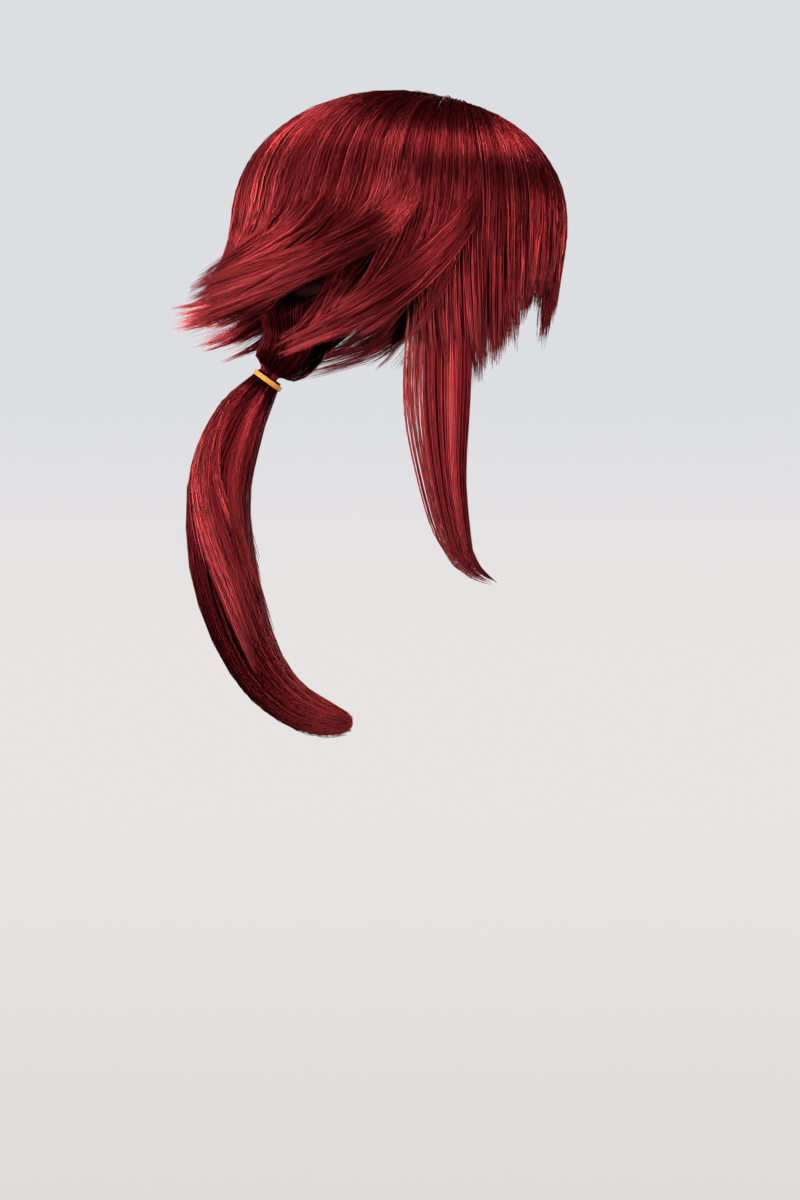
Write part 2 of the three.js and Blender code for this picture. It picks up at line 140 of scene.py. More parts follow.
BACK_LOCKS = (
    Lock(112, -0.094, -0.122, 133, 0.007, -0.163), Lock(126, -0.094, -0.120, 144, 0.022, -0.163),
    Lock(140, -0.094, -0.116, 153, 0.042, -0.154), Lock(154, -0.094, -0.113, 163, 0.053, -0.148),
    Lock(168, -0.094, -0.112, 173, 0.051, -0.144), Lock(180, -0.094, -0.112, 180, 0.047, -0.141),
)
# Nape locks, from the cap into the neck that the tie holds.
NapeLock = namedtuple("NapeLock", "azimuth root_z leave_z bow sag")
NAPE_LOCKS = (
    NapeLock(106, -0.118, -0.138, 0, 0.004), NapeLock(121, -0.136, -0.158, 0.001, 0.007),
    NapeLock(132, -0.138, -0.155, 0.003, 0.005),
    NapeLock(147, -0.135, -0.150, 0.004, 0.002), NapeLock(163, -0.132, -0.145, 0.005, 0),
    NapeLock(180, -0.130, -0.142, 0.006, 0),
)
# The right side lock, from its seat on the cap to the tip that curls towards the front.
SideStep = namedtuple("SideStep", "azimuth out z wide thick")
SIDE_STEPS = (
    SideStep(82, -0.002, -0.092, 0.011, 0.0014), SideStep(77, -0.0008, -0.125, 0.017, 0.0018),
    SideStep(77, 0.0002, -0.165, 0.020, 0.0022), SideStep(77, 0.0004, -0.200, 0.019, 0.003),
    SideStep(75, 0, -0.242, 0.0135, 0.003), SideStep(71, 0, -0.276, 0.010, 0.0026),
    SideStep(66, 0, -0.294, 0.0055, 0.0018), SideStep(54, 0.001, -0.306, 0.0012, 0.0008),
)
# The tail below the tie: its middle line, half depth and half breadth.
TailStep = namedtuple("TailStep", "y z deep broad")
TAIL_STEPS = (
    TailStep(0.099, -0.195, 0.0145, 0.013), TailStep(0.109, -0.216, 0.0185, 0.018),
    TailStep(0.117, -0.240, 0.0205, 0.022), TailStep(0.1185, -0.266, 0.021, 0.024),
    TailStep(0.116, -0.294, 0.022, 0.024), TailStep(0.110, -0.322, 0.021, 0.023),
    TailStep(0.100, -0.350, 0.019, 0.020), TailStep(0.086, -0.374, 0.0165, 0.017),
    TailStep(0.068, -0.390, 0.014, 0.014), TailStep(0.051, -0.398, 0.012, 0.011),
    TailStep(0.038, -0.401, 0.0075, 0.0065), TailStep(0.0305, -0.4015, 0.0045, 0.004),
)

# Fans of locks that sweep across the others: way points of the first and of the last lock.
Fan = namedtuple("Fan", "first last locks strands tone")
WayPoint = namedtuple("WayPoint", "azimuth out z")
# A fan's tone is its colour; the first two are paler than the crown, partly a painted highlight on these lit
# locks.
FANS = (
    Fan(
        (
            WayPoint(88, 0.0130, -0.040), WayPoint(92, 0.0150, -0.074), WayPoint(108, 0.0168, -0.095),
            WayPoint(130, 0.021, -0.106), WayPoint(150, 0.030, -0.113), WayPoint(163, 0.040, -0.118),
        ),
        (
            WayPoint(80, 0.0130, -0.050), WayPoint(85, 0.0150, -0.086), WayPoint(101, 0.0172, -0.113),
            WayPoint(124, 0.022, -0.130), WayPoint(146, 0.036, -0.144), WayPoint(160, 0.050, -0.151),
        ), 11, 330, 0.6,
    ),
    Fan(
        (
            WayPoint(68, 0.0130, -0.060), WayPoint(76, 0.0156, -0.098), WayPoint(92, 0.0172, -0.128),
            WayPoint(110, 0.0172, -0.148), WayPoint(127, 0.016, -0.160),
        ),
        (
            WayPoint(70, 0.0130, -0.072), WayPoint(79, 0.0150, -0.118), WayPoint(95, 0.0165, -0.148),
            WayPoint(113, 0.0162, -0.161), WayPoint(131, 0.015, -0.169),
        ), 7, 230, 0.6,
    ),
    Fan(
        (
            WayPoint(60, 0.0125, -0.036), WayPoint(66, 0.0144, -0.072), WayPoint(81, 0.0160, -0.104),
            WayPoint(101, 0.0172, -0.133), WayPoint(113, 0.0178, -0.144),
        ),
        (
            WayPoint(60, 0.0125, -0.050), WayPoint(66, 0.0146, -0.092), WayPoint(79, 0.0162, -0.126),
            WayPoint(93, 0.0172, -0.150), WayPoint(102, 0.0178, -0.162),
        ), 10, 170, 0.45,
    ),
)

# A coat of hair: its locks, the way over the cap and off it, its thickness, and where it grows from.
Coat = namedtuple("Coat", "locks held free held_thick free_thick from_whorl tone wisp")
CROWN_COAT = Coat(CROWN_LOCKS, CROWN_STEPS, FLIP_STEPS, LOCK_HALF_THICK, LOCK_HALF_THICK, True, 0.5, 1.0)
FRINGE_COAT = Coat(FRINGE_LOCKS, FRINGE_STEPS, TUCK_STEPS, LOCK_HALF_THICK, LOCK_HALF_THICK, True, 0.52, 1.3)
# The back coat's higher tone is painted light on its lit flipped ends.
BACK_COAT = Coat(BACK_LOCKS, UNDER_STEPS, FLIP_STEPS, UNDER_HALF_THICK, LOCK_HALF_THICK, False, 0.65, 1.7)

# A row of strands in a coat: how many, between which angles, how they clump, where they root, how wide.
HairRow = namedtuple("HairRow", "coat count rings low high clump lock_pull sweep fill roots width")
CROWN_ROW = HairRow(CROWN_COAT, 2050, 13, 66, 182, 3.4, 0.22, 0.22, 0.3, (0.005, 0.62), 1.1)
FRINGE_ROWS = (
    HairRow(FRINGE_COAT, 1200, 12, -7, 82, 4.2, 0.35, 0, 0.25, (0.005, 0.6), 1.2),
    HairRow(FRINGE_COAT, 400, 8, -8, 86, 4.2, 0, 0, 1, (0.5, 0.7), 2.3),
)
BACK_ROWS = (
    HairRow(BACK_COAT, 180, 10, 106, 118, 3.2, 0.35, 0, 0.2, (0, 0.3), 1),
    HairRow(BACK_COAT, 620, 10, 133, 182, 5, 0.35, 0.15, 0.1, (0, 0.3), 1),
)

# Strands as meshes: their map, sides, stations, taper and rough crosswise directions.
HAIR_MAP = "OFBake"
HAIR_FINISH = "glossy_hair"
STRAND_SIDES = 3
STATIONS = 16
SMOOTHING = 2
CURVE_POINTS = 48
RING_STAGGER = 0.309
TIP_CROWDING = 1.2
TONE_TOP = 0.99
TONE_WIDTH = 0.004
TAPER_PLACES = (0, 0.08, 0.75, 1)
TAPER_WIDTHS = (0.6, 1, 0.95)
FINE_TIP = 0.2
BLUNT_TIP = 0.5
HINT_SHARE = 0.2
COAT_CROSS = (0, 1, 0.3)
SIDE_CROSS = (0.3, 1, 0)
NAPE_CROSS = (1, 0, 0.3)
TAIL_CROSS = (1, 0, 0)

# The least length of a vector, and distances at which points are welded.
TINY = 1e-12
WELD = 1e-5
TIE_WELD = 1e-6

# Hair finish: where the ramp turns crimson, how much tips are painted lighter as a painted glow of light
# through them, how rough tips are, and how streaks run.
CRIMSON_STOP = 0.55
TIP_START = 0.7
TIP_PAINTED_GLOW = 0.42
TIP_ROUGH = 0.4
STREAKS_ACROSS = 60
STREAKS_ALONG = 5
STREAK_DARK = 0.35
STREAK_ROUGH = 0.1

# Cap: its rounding, the height of half a weft row and the edges of its band, then net, stitches and relief.
CAP_SMOOTHING = 0.1
CAP_ROUNDING = 2
WEFT_ROW = 0.006
WEFT_EDGES = (0.0032, 0.0044)
NET_SCALE = 520
NET_EDGES = (0.02, 0.2)
NET_RELIEF = 0.6
NET_SHADE = 0.45
NET_BUMP = (0.5, 0.0006)
STITCH_SCALE = 900

# Elastic finish: ribs and wear. A bump is its strength and its height in metres.
RIB_SCALE = 1500
RIB_BUMP = (0.35, 0.0003)
WEAR_SCALE = 260
WEAR_SHARE = 0.7
WEAR_SHADE = 0.62

# How a row is combed: jitter of clumps, stray and loose strands, and clumps that sweep aside.
CLUMP_SPARE = 3
CLUMP_JITTER = (0.55, 1.45)
CLUMP_TURN = 0.3
CLUMP_CLOSING = 0.06
STRAY_SHARE = 0.04
STRAY_SPREAD = 2.5
LOOSE_HOLD = 0.2
LOOSE_SINK = 0.8
DEEPEST = -0.8
DEPTH_SPREAD = 0.3
FREE_DEPTH_SPREAD = 0.4
ROOT_CROWDING = 1.6
REACH_SPREAD = 0.13
REACH_POINT = 0.22
LEAST_REACH = 0.4
LIFT_SPREAD = 0.00025
DRIFT_SPREAD = 0.0003
SWEEP_LEAST = 0.4
SWEEP_END = 165
SWEEP_FADE = 40
SWEEP_TURN = 16
SWEEP_RISE = 0.016
SWEEP_LIFT = 0.0012
# Spreads of tips, first of clumps and then of strands.
TIP_TURNS = (1.0, 0.4)
TIP_OUTS = (0.0026, 0.0004)
TIP_HEIGHTS = (0.0045, 0.0008)
# Tones: how much paler the back is painted, a painted sheen where the light falls on it, and between which
# angles, and spreads of clumps and strands.
BACK_PAINTED_SHEEN = 0.22
BACK_ANGLES = (118, 160)
CLUMP_TONE = 0.14
STRAND_TONE = 0.11
COAT_WIDTHS = (0.7, 1.15)

# Where a strand changes over: shares of its way from the root, past the edge of the cap at 1.
LEAVE_BLEND = (0.95, 1.35)
LIFT_BLEND = (0.3, 0.65)
ROOT_BLEND = (0, 0.16)
ROOT_TUCK = 0.001
LATE_TUCK = 0.002
LATE_ROOTS = (0.05, 0.12)
WAVES = 2.2

# Swept fans: how locks close up, stray and start under the hair, as angle, way out and height.
FAN_RINGS = 11
FAN_PLACES = (0.2, 0.8)
FAN_SPREAD = 0.5
FAN_CLOSING = 0.7
FAN_LOOSE = (1.6, 0.0016, 0.002)
FAN_FRIZZ = (0.5, 0.0006, 0.0008)
FAN_TUCK = 0.004
FAN_TUCK_END = 0.1
FAN_REACH = (0.14, 0.55)
FAN_LOCK_TONE = 0.18
FAN_TONE = 0.1
FAN_WIDTHS = (0.8, 1.2)

# Side locks: thin wisps at the back edge, painted paler to lift the shade they lie in, fuller ones before
# them, the foremost of these dark.
SIDE_STRANDS = 500
SIDE_RINGS = 12
THIN_WISPS = 4
THIN_ACROSS = (-0.98, -0.5)
THIN_SHARE = 0.035
THIN_SPREAD = 0.025
THIN_PAINTED_LIGHT_TONE = 0.75
FULL_WISPS = 9
FULL_ACROSS = (-0.28, 0.95)
FULL_SHARE = 0.86
FULL_SPREAD = 0.055
FULL_TONES = (0.4, 0.7)
DARK_WISPS = 2
DARK_TONE = 0.2
SIDE_TONE = 0.1
SIDE_ROOTS = 0.15
WISP_REACH = 0.92
SIDE_REACH = (0.07, 0.6)
SIDE_WIDTHS = (0.7, 1.1)

# Nape: how far strands start above the locks' roots, close up, bow and run through the tie.
NAPE_STRANDS = 1350
NAPE_RINGS = 9
NAPE_ANGLES = (96, 180)
NAPE_RISE = 0.008
NAPE_CLOSING = 0.2
NAPE_LIFT = 1.35
NAPE_MIDDLE = 0.55
NAPE_ABOVE = 0.003
NAPE_BELOW = 0.004
# Nape tones are kept low: painted shade of the hollow under the flipped hair.
NAPE_SHADED_TONES = (0.3, 0.17)
NAPE_WIDTHS = (1.3, 2.0)

# Ponytail: its long strands, gathered in locks that drift to the front and fray at the end.
TAIL_RUN = np.linspace(0, 1, len(TAIL_STEPS) + 2)
TAIL_RINGS = 14
TAIL_TONE = 0.1
TAIL_WIDTHS = (1.0, 1.4)
LONG_STRANDS = 1340
LONG_LOCKS = 44
LONG_SPREAD = 0.16
LONG_LOOSE = 0.35
LONG_DRIFT = 0.25
LONG_DRIFT_SPREAD = 0.1
LONG_DEPTH = (0.22, 0.3)
LONG_REACH = 0.035
OUTER_SHORTER = 0.3
OUTER_START = 0.65
# Long strands' tones differ at random by lock and are kept low, painted shade on the lower tail that faces
# away from the light.
LONG_SHADED_TONES = (0.2, 0.55)
FRAY_SPREAD = 0.2
FRAY_SINK = 0.15
FRAY_BLEND = (0.75, 1)
# Its shorter strands, which sweep round from the back, with a few inner locks at the front.
SHORT_STRANDS = 603
SHORT_LOCKS = 18
SHORT_STARTS = (0, 1.2)
SHORT_SPREAD = 0.09
SHORT_SWEEPS = (1.2, 2.2)
SHORT_SWEEP_SPREAD = 0.04
SHORT_REACH = (0.42, 0.68)
SHORT_REACH_SPREAD = 0.1
SHORT_BEND = (0.1, 0.58)
SHORT_FLARE = 0.14
SHORT_FLARE_BLEND = (0.3, 0.7)
SHORT_LIFT_SPREAD = 0.02
# Short strands' tones differ at random by lock and are kept high, a painted sheen on the swept locks.
SHORT_SHEEN_TONES = (0.42, 0.92)
INNER_CYCLE = 6
INNER_AFTER = 3
INNER_START = 1.9
INNER_SWEEP = 0.6
INNER_REACH = 0.85
INNER_FLARE = 0.4
INNER_DARKER = 0.2

# Studio: floor and backdrop, soft boxes with their width, height and place, and the camera.
FLOOR_REACH = 2.6
FLOOR_BEND = 0.8
WALL_HEIGHT = 1.2
BEND_STEPS = 8
FLOOR_STEPS = 72
FAR_GLOW = (0.6, 1)
FAR_END = 0.3
Lamp = namedtuple("Lamp", "name size place")
LAMPS = (
    Lamp("key", (0.9, 1.3), (-0.66, 0.94, 0)),
    Lamp("fill", (0.32, 0.95), (-0.82, -0.70, -0.06)),
    Lamp("left", (0.6, 1.0), (0.85, -0.72, 0.05)),
    Lamp("top", (0.4, 0.4), (-0.5, -0.05, 0.9)),
    Lamp("rim", (0.5, 0.5), (-0.25, 0.6, 0.85)),
)
LAMP_COLOUR = (1.0, 0.97, 0.93)
LAMP_AIM = Vector((0, 0, 0.1))
SKY_COLOUR = (0.92, 0.96, 1.0, 1)
SKY_STRENGTH = 0.12
CAMERA_PLACE = (-0.871, 0, -0.2396)
CAMERA_SENSOR = 36
CAMERA_LENS = 40.17
CAMERA_SHIFT = -0.104

# Sockets of a colour Mix node.
MIX_SHARE = 0
MIX_FIRST = 6
MIX_SECOND = 7
MIX_RESULT = 2
BLACK = (0, 0, 0, 1)


class WigHairLooks(bpy.types.PropertyGroup):
    """Sizes and colours of the hair"""

    strand_radius: bpy.props.FloatProperty(
        name="Strand radius", description="Half width of one strand", default=0.00023, unit="LENGTH"
    )
    wine: bpy.props.FloatVectorProperty(
        name="Wine", description="Colour of the darkest strands",
        default=(0.013, 0.0006, 0.0012), subtype="COLOR",
    )
    crimson: bpy.props.FloatVectorProperty(
        name="Crimson", description="Colour of most strands", default=(0.050, 0.0034, 0.0042), subtype="COLOR"
    )
    bright: bpy.props.FloatVectorProperty(
        name="Bright", description="Colour of the brightest strands",
        default=(0.21, 0.024, 0.027), subtype="COLOR",
    )
    roughness: bpy.props.FloatProperty(
        name="Roughness", description="Gloss of a strand", default=0.30, min=0, max=1, subtype="FACTOR"
    )


class WigTrimLooks(bpy.types.PropertyGroup):
    """Sizes and colours of the cap and the hair tie"""

    net: bpy.props.FloatVectorProperty(
        name="Net", description="Colour of the cap's net", default=(0.010, 0.0015, 0.0025), subtype="COLOR"
    )
    weft: bpy.props.FloatVectorProperty(
        name="Weft", description="Colour of the sewn weft rows",
        default=(0.026, 0.0022, 0.004), subtype="COLOR",
    )
    elastic: bpy.props.FloatVectorProperty(
        name="Elastic", description="Colour of the hair tie", default=(0.22, 0.078, 0.009), subtype="COLOR"
    )
    wraps: bpy.props.IntProperty(name="Wraps", description="Turns of elastic in the tie", default=3, min=1)


class WigStageLooks(bpy.types.PropertyGroup):
    """Places, powers and colours of the studio"""

    floor_z: bpy.props.FloatProperty(
        name="Floor height", description="Height of the studio floor", default=-0.646, unit="LENGTH"
    )
    cloth: bpy.props.FloatVectorProperty(
        name="Cloth", description="Colour of the floor", default=(0.80, 0.77, 0.77), subtype="COLOR"
    )
    wall: bpy.props.FloatVectorProperty(
        name="Wall", description="Colour of the backdrop", default=(0.715, 0.73, 0.76), subtype="COLOR"
    )
    key_power: bpy.props.FloatProperty(
        name="Key power", description="Light from the left of the camera", default=114, unit="POWER"
    )
    fill_power: bpy.props.FloatProperty(
        name="Fill power", description="Light from the right of the camera", default=54, unit="POWER"
    )
    left_power: bpy.props.FloatProperty(
        name="Left power", description="Light on the wearer's left side", default=54, unit="POWER"
    )
    top_power: bpy.props.FloatProperty(
        name="Top power", description="Light from above", default=27, unit="POWER"
    )
    rim_power: bpy.props.FloatProperty(
        name="Rim power", description="Light from above the back", default=36, unit="POWER"
    )


class Value:
    """One socket of a finish; sums and products of values add Math nodes"""

    def __init__(self, finish, socket):
        self.finish = finish
        self.socket = socket

    def math(self, operation, first, second):
        return self.finish.node("ShaderNodeMath", {"operation": operation}, {0: first, 1: second})

    def __add__(self, other):
        return self.math("ADD", self, other)

    def __radd__(self, other):
        return self.math("ADD", other, self)

    def __sub__(self, other):
        return self.math("SUBTRACT", self, other)

    def __rsub__(self, other):
        return self.math("SUBTRACT", other, self)

    def __mul__(self, other):
        return self.math("MULTIPLY", self, other)

    def __rmul__(self, other):
        return self.math("MULTIPLY", other, self)

    def pingpong(self, top):
        """Goes up to a top and back down to zero, over and over"""
        return self.math("PINGPONG", self, top)


class Finish:
    """A material whose nodes are added one at a time"""

    def __init__(self, name):
        self.material = bpy.data.materials.new(name)
        self.material.use_nodes = True
        self.tree = self.material.node_tree
        self.shader = self.tree.nodes["Principled BSDF"]

    def node(self, kind, settings=None, inputs=None, output=0):
        """Adds a node, sets it up, and returns one of its outputs"""
        made = self.tree.nodes.new(kind)
        for name, setting in (settings or {}).items():
            if name == "stops":
                self.set_stops(made.color_ramp, setting)
            else:
                setattr(made, name, setting)
        self.fill(made, inputs or {})
        return Value(self, made.outputs[output])

    def fill(self, node, inputs):
        for name, given in inputs.items():
            if isinstance(given, Value):
                self.tree.links.new(given.socket, node.inputs[name])
            else:
                node.inputs[name].default_value = given

    @staticmethod
    def set_stops(ramp, stops):
        while len(ramp.elements) < len(stops):
            ramp.elements.new(1)
        for element, (place, colour) in zip(ramp.elements, stops):
            element.position = place
            element.color = opaque(colour)

    def place(self):
        """Places on a piece, in metres"""
        return self.node("ShaderNodeTexCoord", output="Object")

    def axes(self, place):
        """The three parts of a place"""
        first = self.node("ShaderNodeSeparateXYZ", inputs={0: place})
        return [Value(self, socket) for socket in first.socket.node.outputs]

    def fade(self, value, edges, ends=(0, 1), curve="SMOOTHSTEP"):
        """Goes from one end to the other while a value passes between two edges"""
        inputs = {0: value, 1: edges[0], 2: edges[1], 3: ends[0], 4: ends[1]}
        return self.node("ShaderNodeMapRange", {"interpolation_type": curve}, inputs)

    def noise(self, place, scale, detail, settings=None):
        inputs = {"Vector": place, "Scale": scale, "Detail": detail}
        return self.node("ShaderNodeTexNoise", settings, inputs)

    def bump(self, strength, distance, height):
        inputs = {"Strength": strength, "Distance": distance, "Height": height}
        return self.node("ShaderNodeBump", inputs=inputs)

    def mix(self, share, first, second):
        """Mixes two colours by a value"""
        inputs = {MIX_SHARE: share, MIX_FIRST: first, MIX_SECOND: second}
        return self.node("ShaderNodeMix", {"data_type": "RGBA"}, inputs, MIX_RESULT)

    def done(self, inputs):
        self.fill(self.shader, inputs)
        return self.material


def opaque(colour, shade=1):
    """A colour for a socket, darkened to a share of itself"""
    return (*(shade * part for part in colour), 1)


def lerp(first, second, share):
    return first + (second - first) * share


def smooth(low, high, value):
    share = np.clip((value - low) / (high - low), 0, 1)
    return share * share * (3 - 2 * share)


def column(table, name, key, at):
    """Values of a table's column between its rows"""
    return np.interp(at, [getattr(row, key) for row in table], [getattr(row, name) for row in table])


def unit(vectors):
    return vectors / np.maximum(np.linalg.norm(vectors, axis=-1, keepdims=True), TINY)


def short_of_one(rng, spread, least, count):
    """Shares at or a little under one"""
    return np.clip(1 - np.abs(rng.normal(0, spread, count)), least, 1)


def cap_direction(azimuth, z):
    """Unit directions of points on the cap at angles and heights"""
    up = (z + CAP_RISE) / np.where(z > -CAP_RISE, CAP_RISE, CAP_DROP)
    level = np.sqrt(np.clip(1 - up * up, 0, 1))
    turn = np.radians(azimuth)
    return np.stack((-level * np.sin(turn), -level * np.cos(turn), up), axis=-1)


def over_cap(direction, lift):
    """Points over those directions, lifted off the inside of the cap"""
    x, y, z = np.moveaxis(direction, -1, 0)
    height = np.where(z > 0, CAP_RISE, CAP_DROP) + lift
    across = x * (CAP_HALF_WIDTH + lift)
    return np.stack((across, y * (CAP_HALF_LENGTH + lift), z * height - CAP_RISE), axis=-1)


def beside_cap(azimuth, out, z):
    """Points beside the cap; out is measured from its widest ring"""
    turn = np.radians(azimuth)
    across = -(CAP_HALF_WIDTH + out) * np.sin(turn)
    return np.stack((across, -(CAP_HALF_LENGTH + out) * np.cos(turn), z * np.ones_like(across)), axis=-1)


def between(start, end, share):
    """Great-circle steps between directions on the unit sphere"""
    angle = np.arccos(np.clip((start * end).sum(-1), -1, 1))[:, None]
    first = np.sin((1 - share) * angle) / np.sin(angle)
    second = np.sin(share * angle) / np.sin(angle)
    return start[:, None] * first[..., None] + end[:, None] * second[..., None]


def over_crest(start, crest, end, share):
    """Paths that set out for the crest of the cap and then fall to their ends"""
    first, second = between(start, crest, share), between(crest, end, share)
    return unit(lerp(first, second, share[..., None]))


def spline(stations, samples):
    """Points of smooth curves through rows of stations"""
    before = 2 * stations[:, :1] - stations[:, 1:2]
    after = 2 * stations[:, -1:] - stations[:, -2:-1]
    padded = np.concatenate((before, stations, after), axis=1)
    last = stations.shape[1] - 1
    place = np.linspace(0, last, samples)
    row = np.minimum(place.astype(int), last - 1)
    t = (place - row)[None, :, None]
    a, b, c, d = (padded[:, row + step] for step in range(4))
    return 0.5 * (2 * b + (c - a) * t + (2 * a - 5 * b + 4 * c - d) * t**2 + (3 * b - a - 3 * c + d) * t**3)


def along(curves, start, end):
    """The same curves between two shares of their way"""
    count, samples = curves.shape[:2]
    place = lerp(start[:, None], end[:, None], np.linspace(0, 1, samples)) * (samples - 1)
    low = np.minimum(place.astype(int), samples - 2)
    pick = np.arange(count)[:, None]
    return lerp(curves[pick, low], curves[pick, low + 1], (place - low)[..., None])


def even_rings(points, rings):
    """Points along each curve, closer together towards its tip and out of step with the next curve's"""
    steps = np.linalg.norm(np.diff(points, axis=1), axis=-1)
    run = np.concatenate((np.zeros((len(points), 1)), np.cumsum(steps, axis=1)), axis=1)
    run /= run[:, -1:]
    row = 2 * np.arange(len(points))[:, None]
    place = np.tile(np.linspace(0, 1, rings), (len(points), 1))
    place[:, 1:-1] += (row * RING_STAGGER % 1 - 0.5) / rings
    wanted = (1 - (1 - place) ** TIP_CROWDING + row).ravel()
    axes = [np.interp(wanted, (run + row).ravel(), points[..., axis].ravel()) for axis in range(3)]
    return np.stack(axes, axis=-1).reshape(len(points), rings, 3)


class HairMesh:
    """Closed tubes along curves, gathered into one mesh with a tone map"""

    def __init__(self):
        self.points, self.corners, self.sizes, self.maps = [], [], [], []
        self.count = 0

    def add(self, curves, hint, size, tone):
        """Adds a tube along each curve; hint points crosswise, tone is its place in the map"""
        rows, rings = curves.shape[:2]
        forward = unit(np.gradient(curves, axis=1))
        side = unit(hint - (hint * forward).sum(-1, keepdims=True) * forward)
        up = np.cross(forward, side)
        turn = 2 * np.pi * np.arange(STRAND_SIDES) / STRAND_SIDES
        across = size[..., None, None] * np.cos(turn)[:, None] * side[:, :, None]
        above = size[..., None, None] * np.sin(turn)[:, None] * up[:, :, None]
        self.points.append((curves[:, :, None] + across + above).reshape(-1, 3))
        index = self.count + np.arange(rows * rings * STRAND_SIDES).reshape(rows, rings, STRAND_SIDES)
        self.count += index.size
        turned = np.roll(index, -1, axis=2)
        quads = np.stack((index[:, :-1], turned[:, :-1], turned[:, 1:], index[:, 1:]), axis=-1)
        ends = np.concatenate((index[:, 0, ::-1], index[:, -1]), axis=0)
        self.corners += [quads.ravel(), ends.ravel()]
        self.sizes += [np.full(quads.size // 4, 4), np.full(len(ends), STRAND_SIDES)]
        self.add_map(rows, rings, turn, tone)

    def add_map(self, rows, rings, turn, tone):
        """Tone across the map and the way from root to tip along it, with a petal for each end"""
        low = tone[:, None, None] + TONE_WIDTH * np.arange(STRAND_SIDES) / STRAND_SIDES
        low = np.broadcast_to(low, (rows, rings - 1, STRAND_SIDES))
        high = low + TONE_WIDTH / STRAND_SIDES
        run = np.linspace(0, 1, rings)
        first = np.broadcast_to(run[:-1, None], low.shape)
        second = np.broadcast_to(run[1:, None], low.shape)
        across_map = np.stack((low, high, high, low), axis=-1)
        along_map = np.stack((first, first, second, second), axis=-1)
        self.maps.append(np.stack((across_map, along_map), axis=-1).reshape(-1, 2))
        petal = TONE_WIDTH * 0.5 * np.stack((np.cos(turn), np.sin(turn)), axis=-1)
        middle = np.concatenate((tone, tone))[:, None] + TONE_WIDTH * 0.5
        height = np.repeat((TONE_WIDTH, 1 - TONE_WIDTH), rows)[:, None]
        end_map = np.stack((middle + petal[:, 0], height + petal[:, 1]), axis=-1)
        self.maps.append(end_map.reshape(-1, 2))

    def piece(self, name, material):
        """The finished piece of all the strands added so far"""
        mesh = bpy.data.meshes.new(name)
        points = np.concatenate(self.points)
        corners = np.concatenate(self.corners)
        sizes = np.concatenate(self.sizes)
        maps = np.concatenate(self.maps)
        mesh.vertices.add(len(points))
        mesh.vertices.foreach_set("co", points.astype(np.float32).ravel())
        mesh.loops.add(len(corners))
        mesh.loops.foreach_set("vertex_index", corners.astype(np.int32))
        mesh.polygons.add(len(sizes))
        mesh.polygons.foreach_set("loop_start", (np.cumsum(sizes) - sizes).astype(np.int32))
        mesh.uv_layers.new(name=HAIR_MAP).data.foreach_set("uv", maps.astype(np.float32).ravel())
        mesh.update(calc_edges=True)
        mesh.validate()
        mesh.shade_smooth()
        return new_piece(name, mesh, material)


def new_piece(name, mesh, material):
    """A finished piece at the origin that moves with the wig"""
    mesh.materials.clear()
    mesh.materials.append(material)
    piece = bpy.data.objects.new(name, mesh)
    bpy.context.scene.collection.objects.link(piece)
    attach(piece, "root")
    return piece


def hair_finish(looks):
    """Glossy synthetic hair: tone across the map, root to tip along it"""
    finish = Finish(HAIR_FINISH)
    tone, run, _ = finish.axes(finish.node("ShaderNodeUVMap", {"uv_map": HAIR_MAP}))
    stops = ((0, looks.wine), (CRIMSON_STOP, looks.crimson), (1, looks.bright))
    shade = finish.node("ShaderNodeValToRGB", {"stops": stops}, {0: tone})
    tip = finish.fade(run, (TIP_START, 1))
    # Painted glow: tips are mixed towards the brightest colour to stand in for light shining through them.
    lit = finish.mix(TIP_PAINTED_GLOW * tip, shade, opaque(looks.bright))
    streak = finish.node("ShaderNodeCombineXYZ", inputs={0: STREAKS_ACROSS * tone, 1: STREAKS_ALONG * run})
    noise = finish.noise(streak, 1, 2, {"noise_dimensions": "2D"})
    return finish.done({
        "Base Color": finish.mix(STREAK_DARK * noise, lit, opaque(looks.wine)),
        "Roughness": looks.roughness - STREAK_ROUGH / 2 + STREAK_ROUGH * noise + TIP_ROUGH * tip,
        "Metallic": 0.92,
        "Specular IOR Level": 0.5,
        "Specular Tint": (0.34, 0.07, 0.075, 1.0),
    })


def hair_material():
    return bpy.data.materials.get(HAIR_FINISH) or hair_finish(bpy.context.scene.wig_hair)


def signed(side, points):
    """Right-side points, or their mirror images for the left"""
    return points * np.array((side, 1, 1))


Comb = namedtuple(
    "Comb", "azimuth root reach depth free_depth lift root_z leave_z tip_azimuth tip_out tip_z tone drift"
)


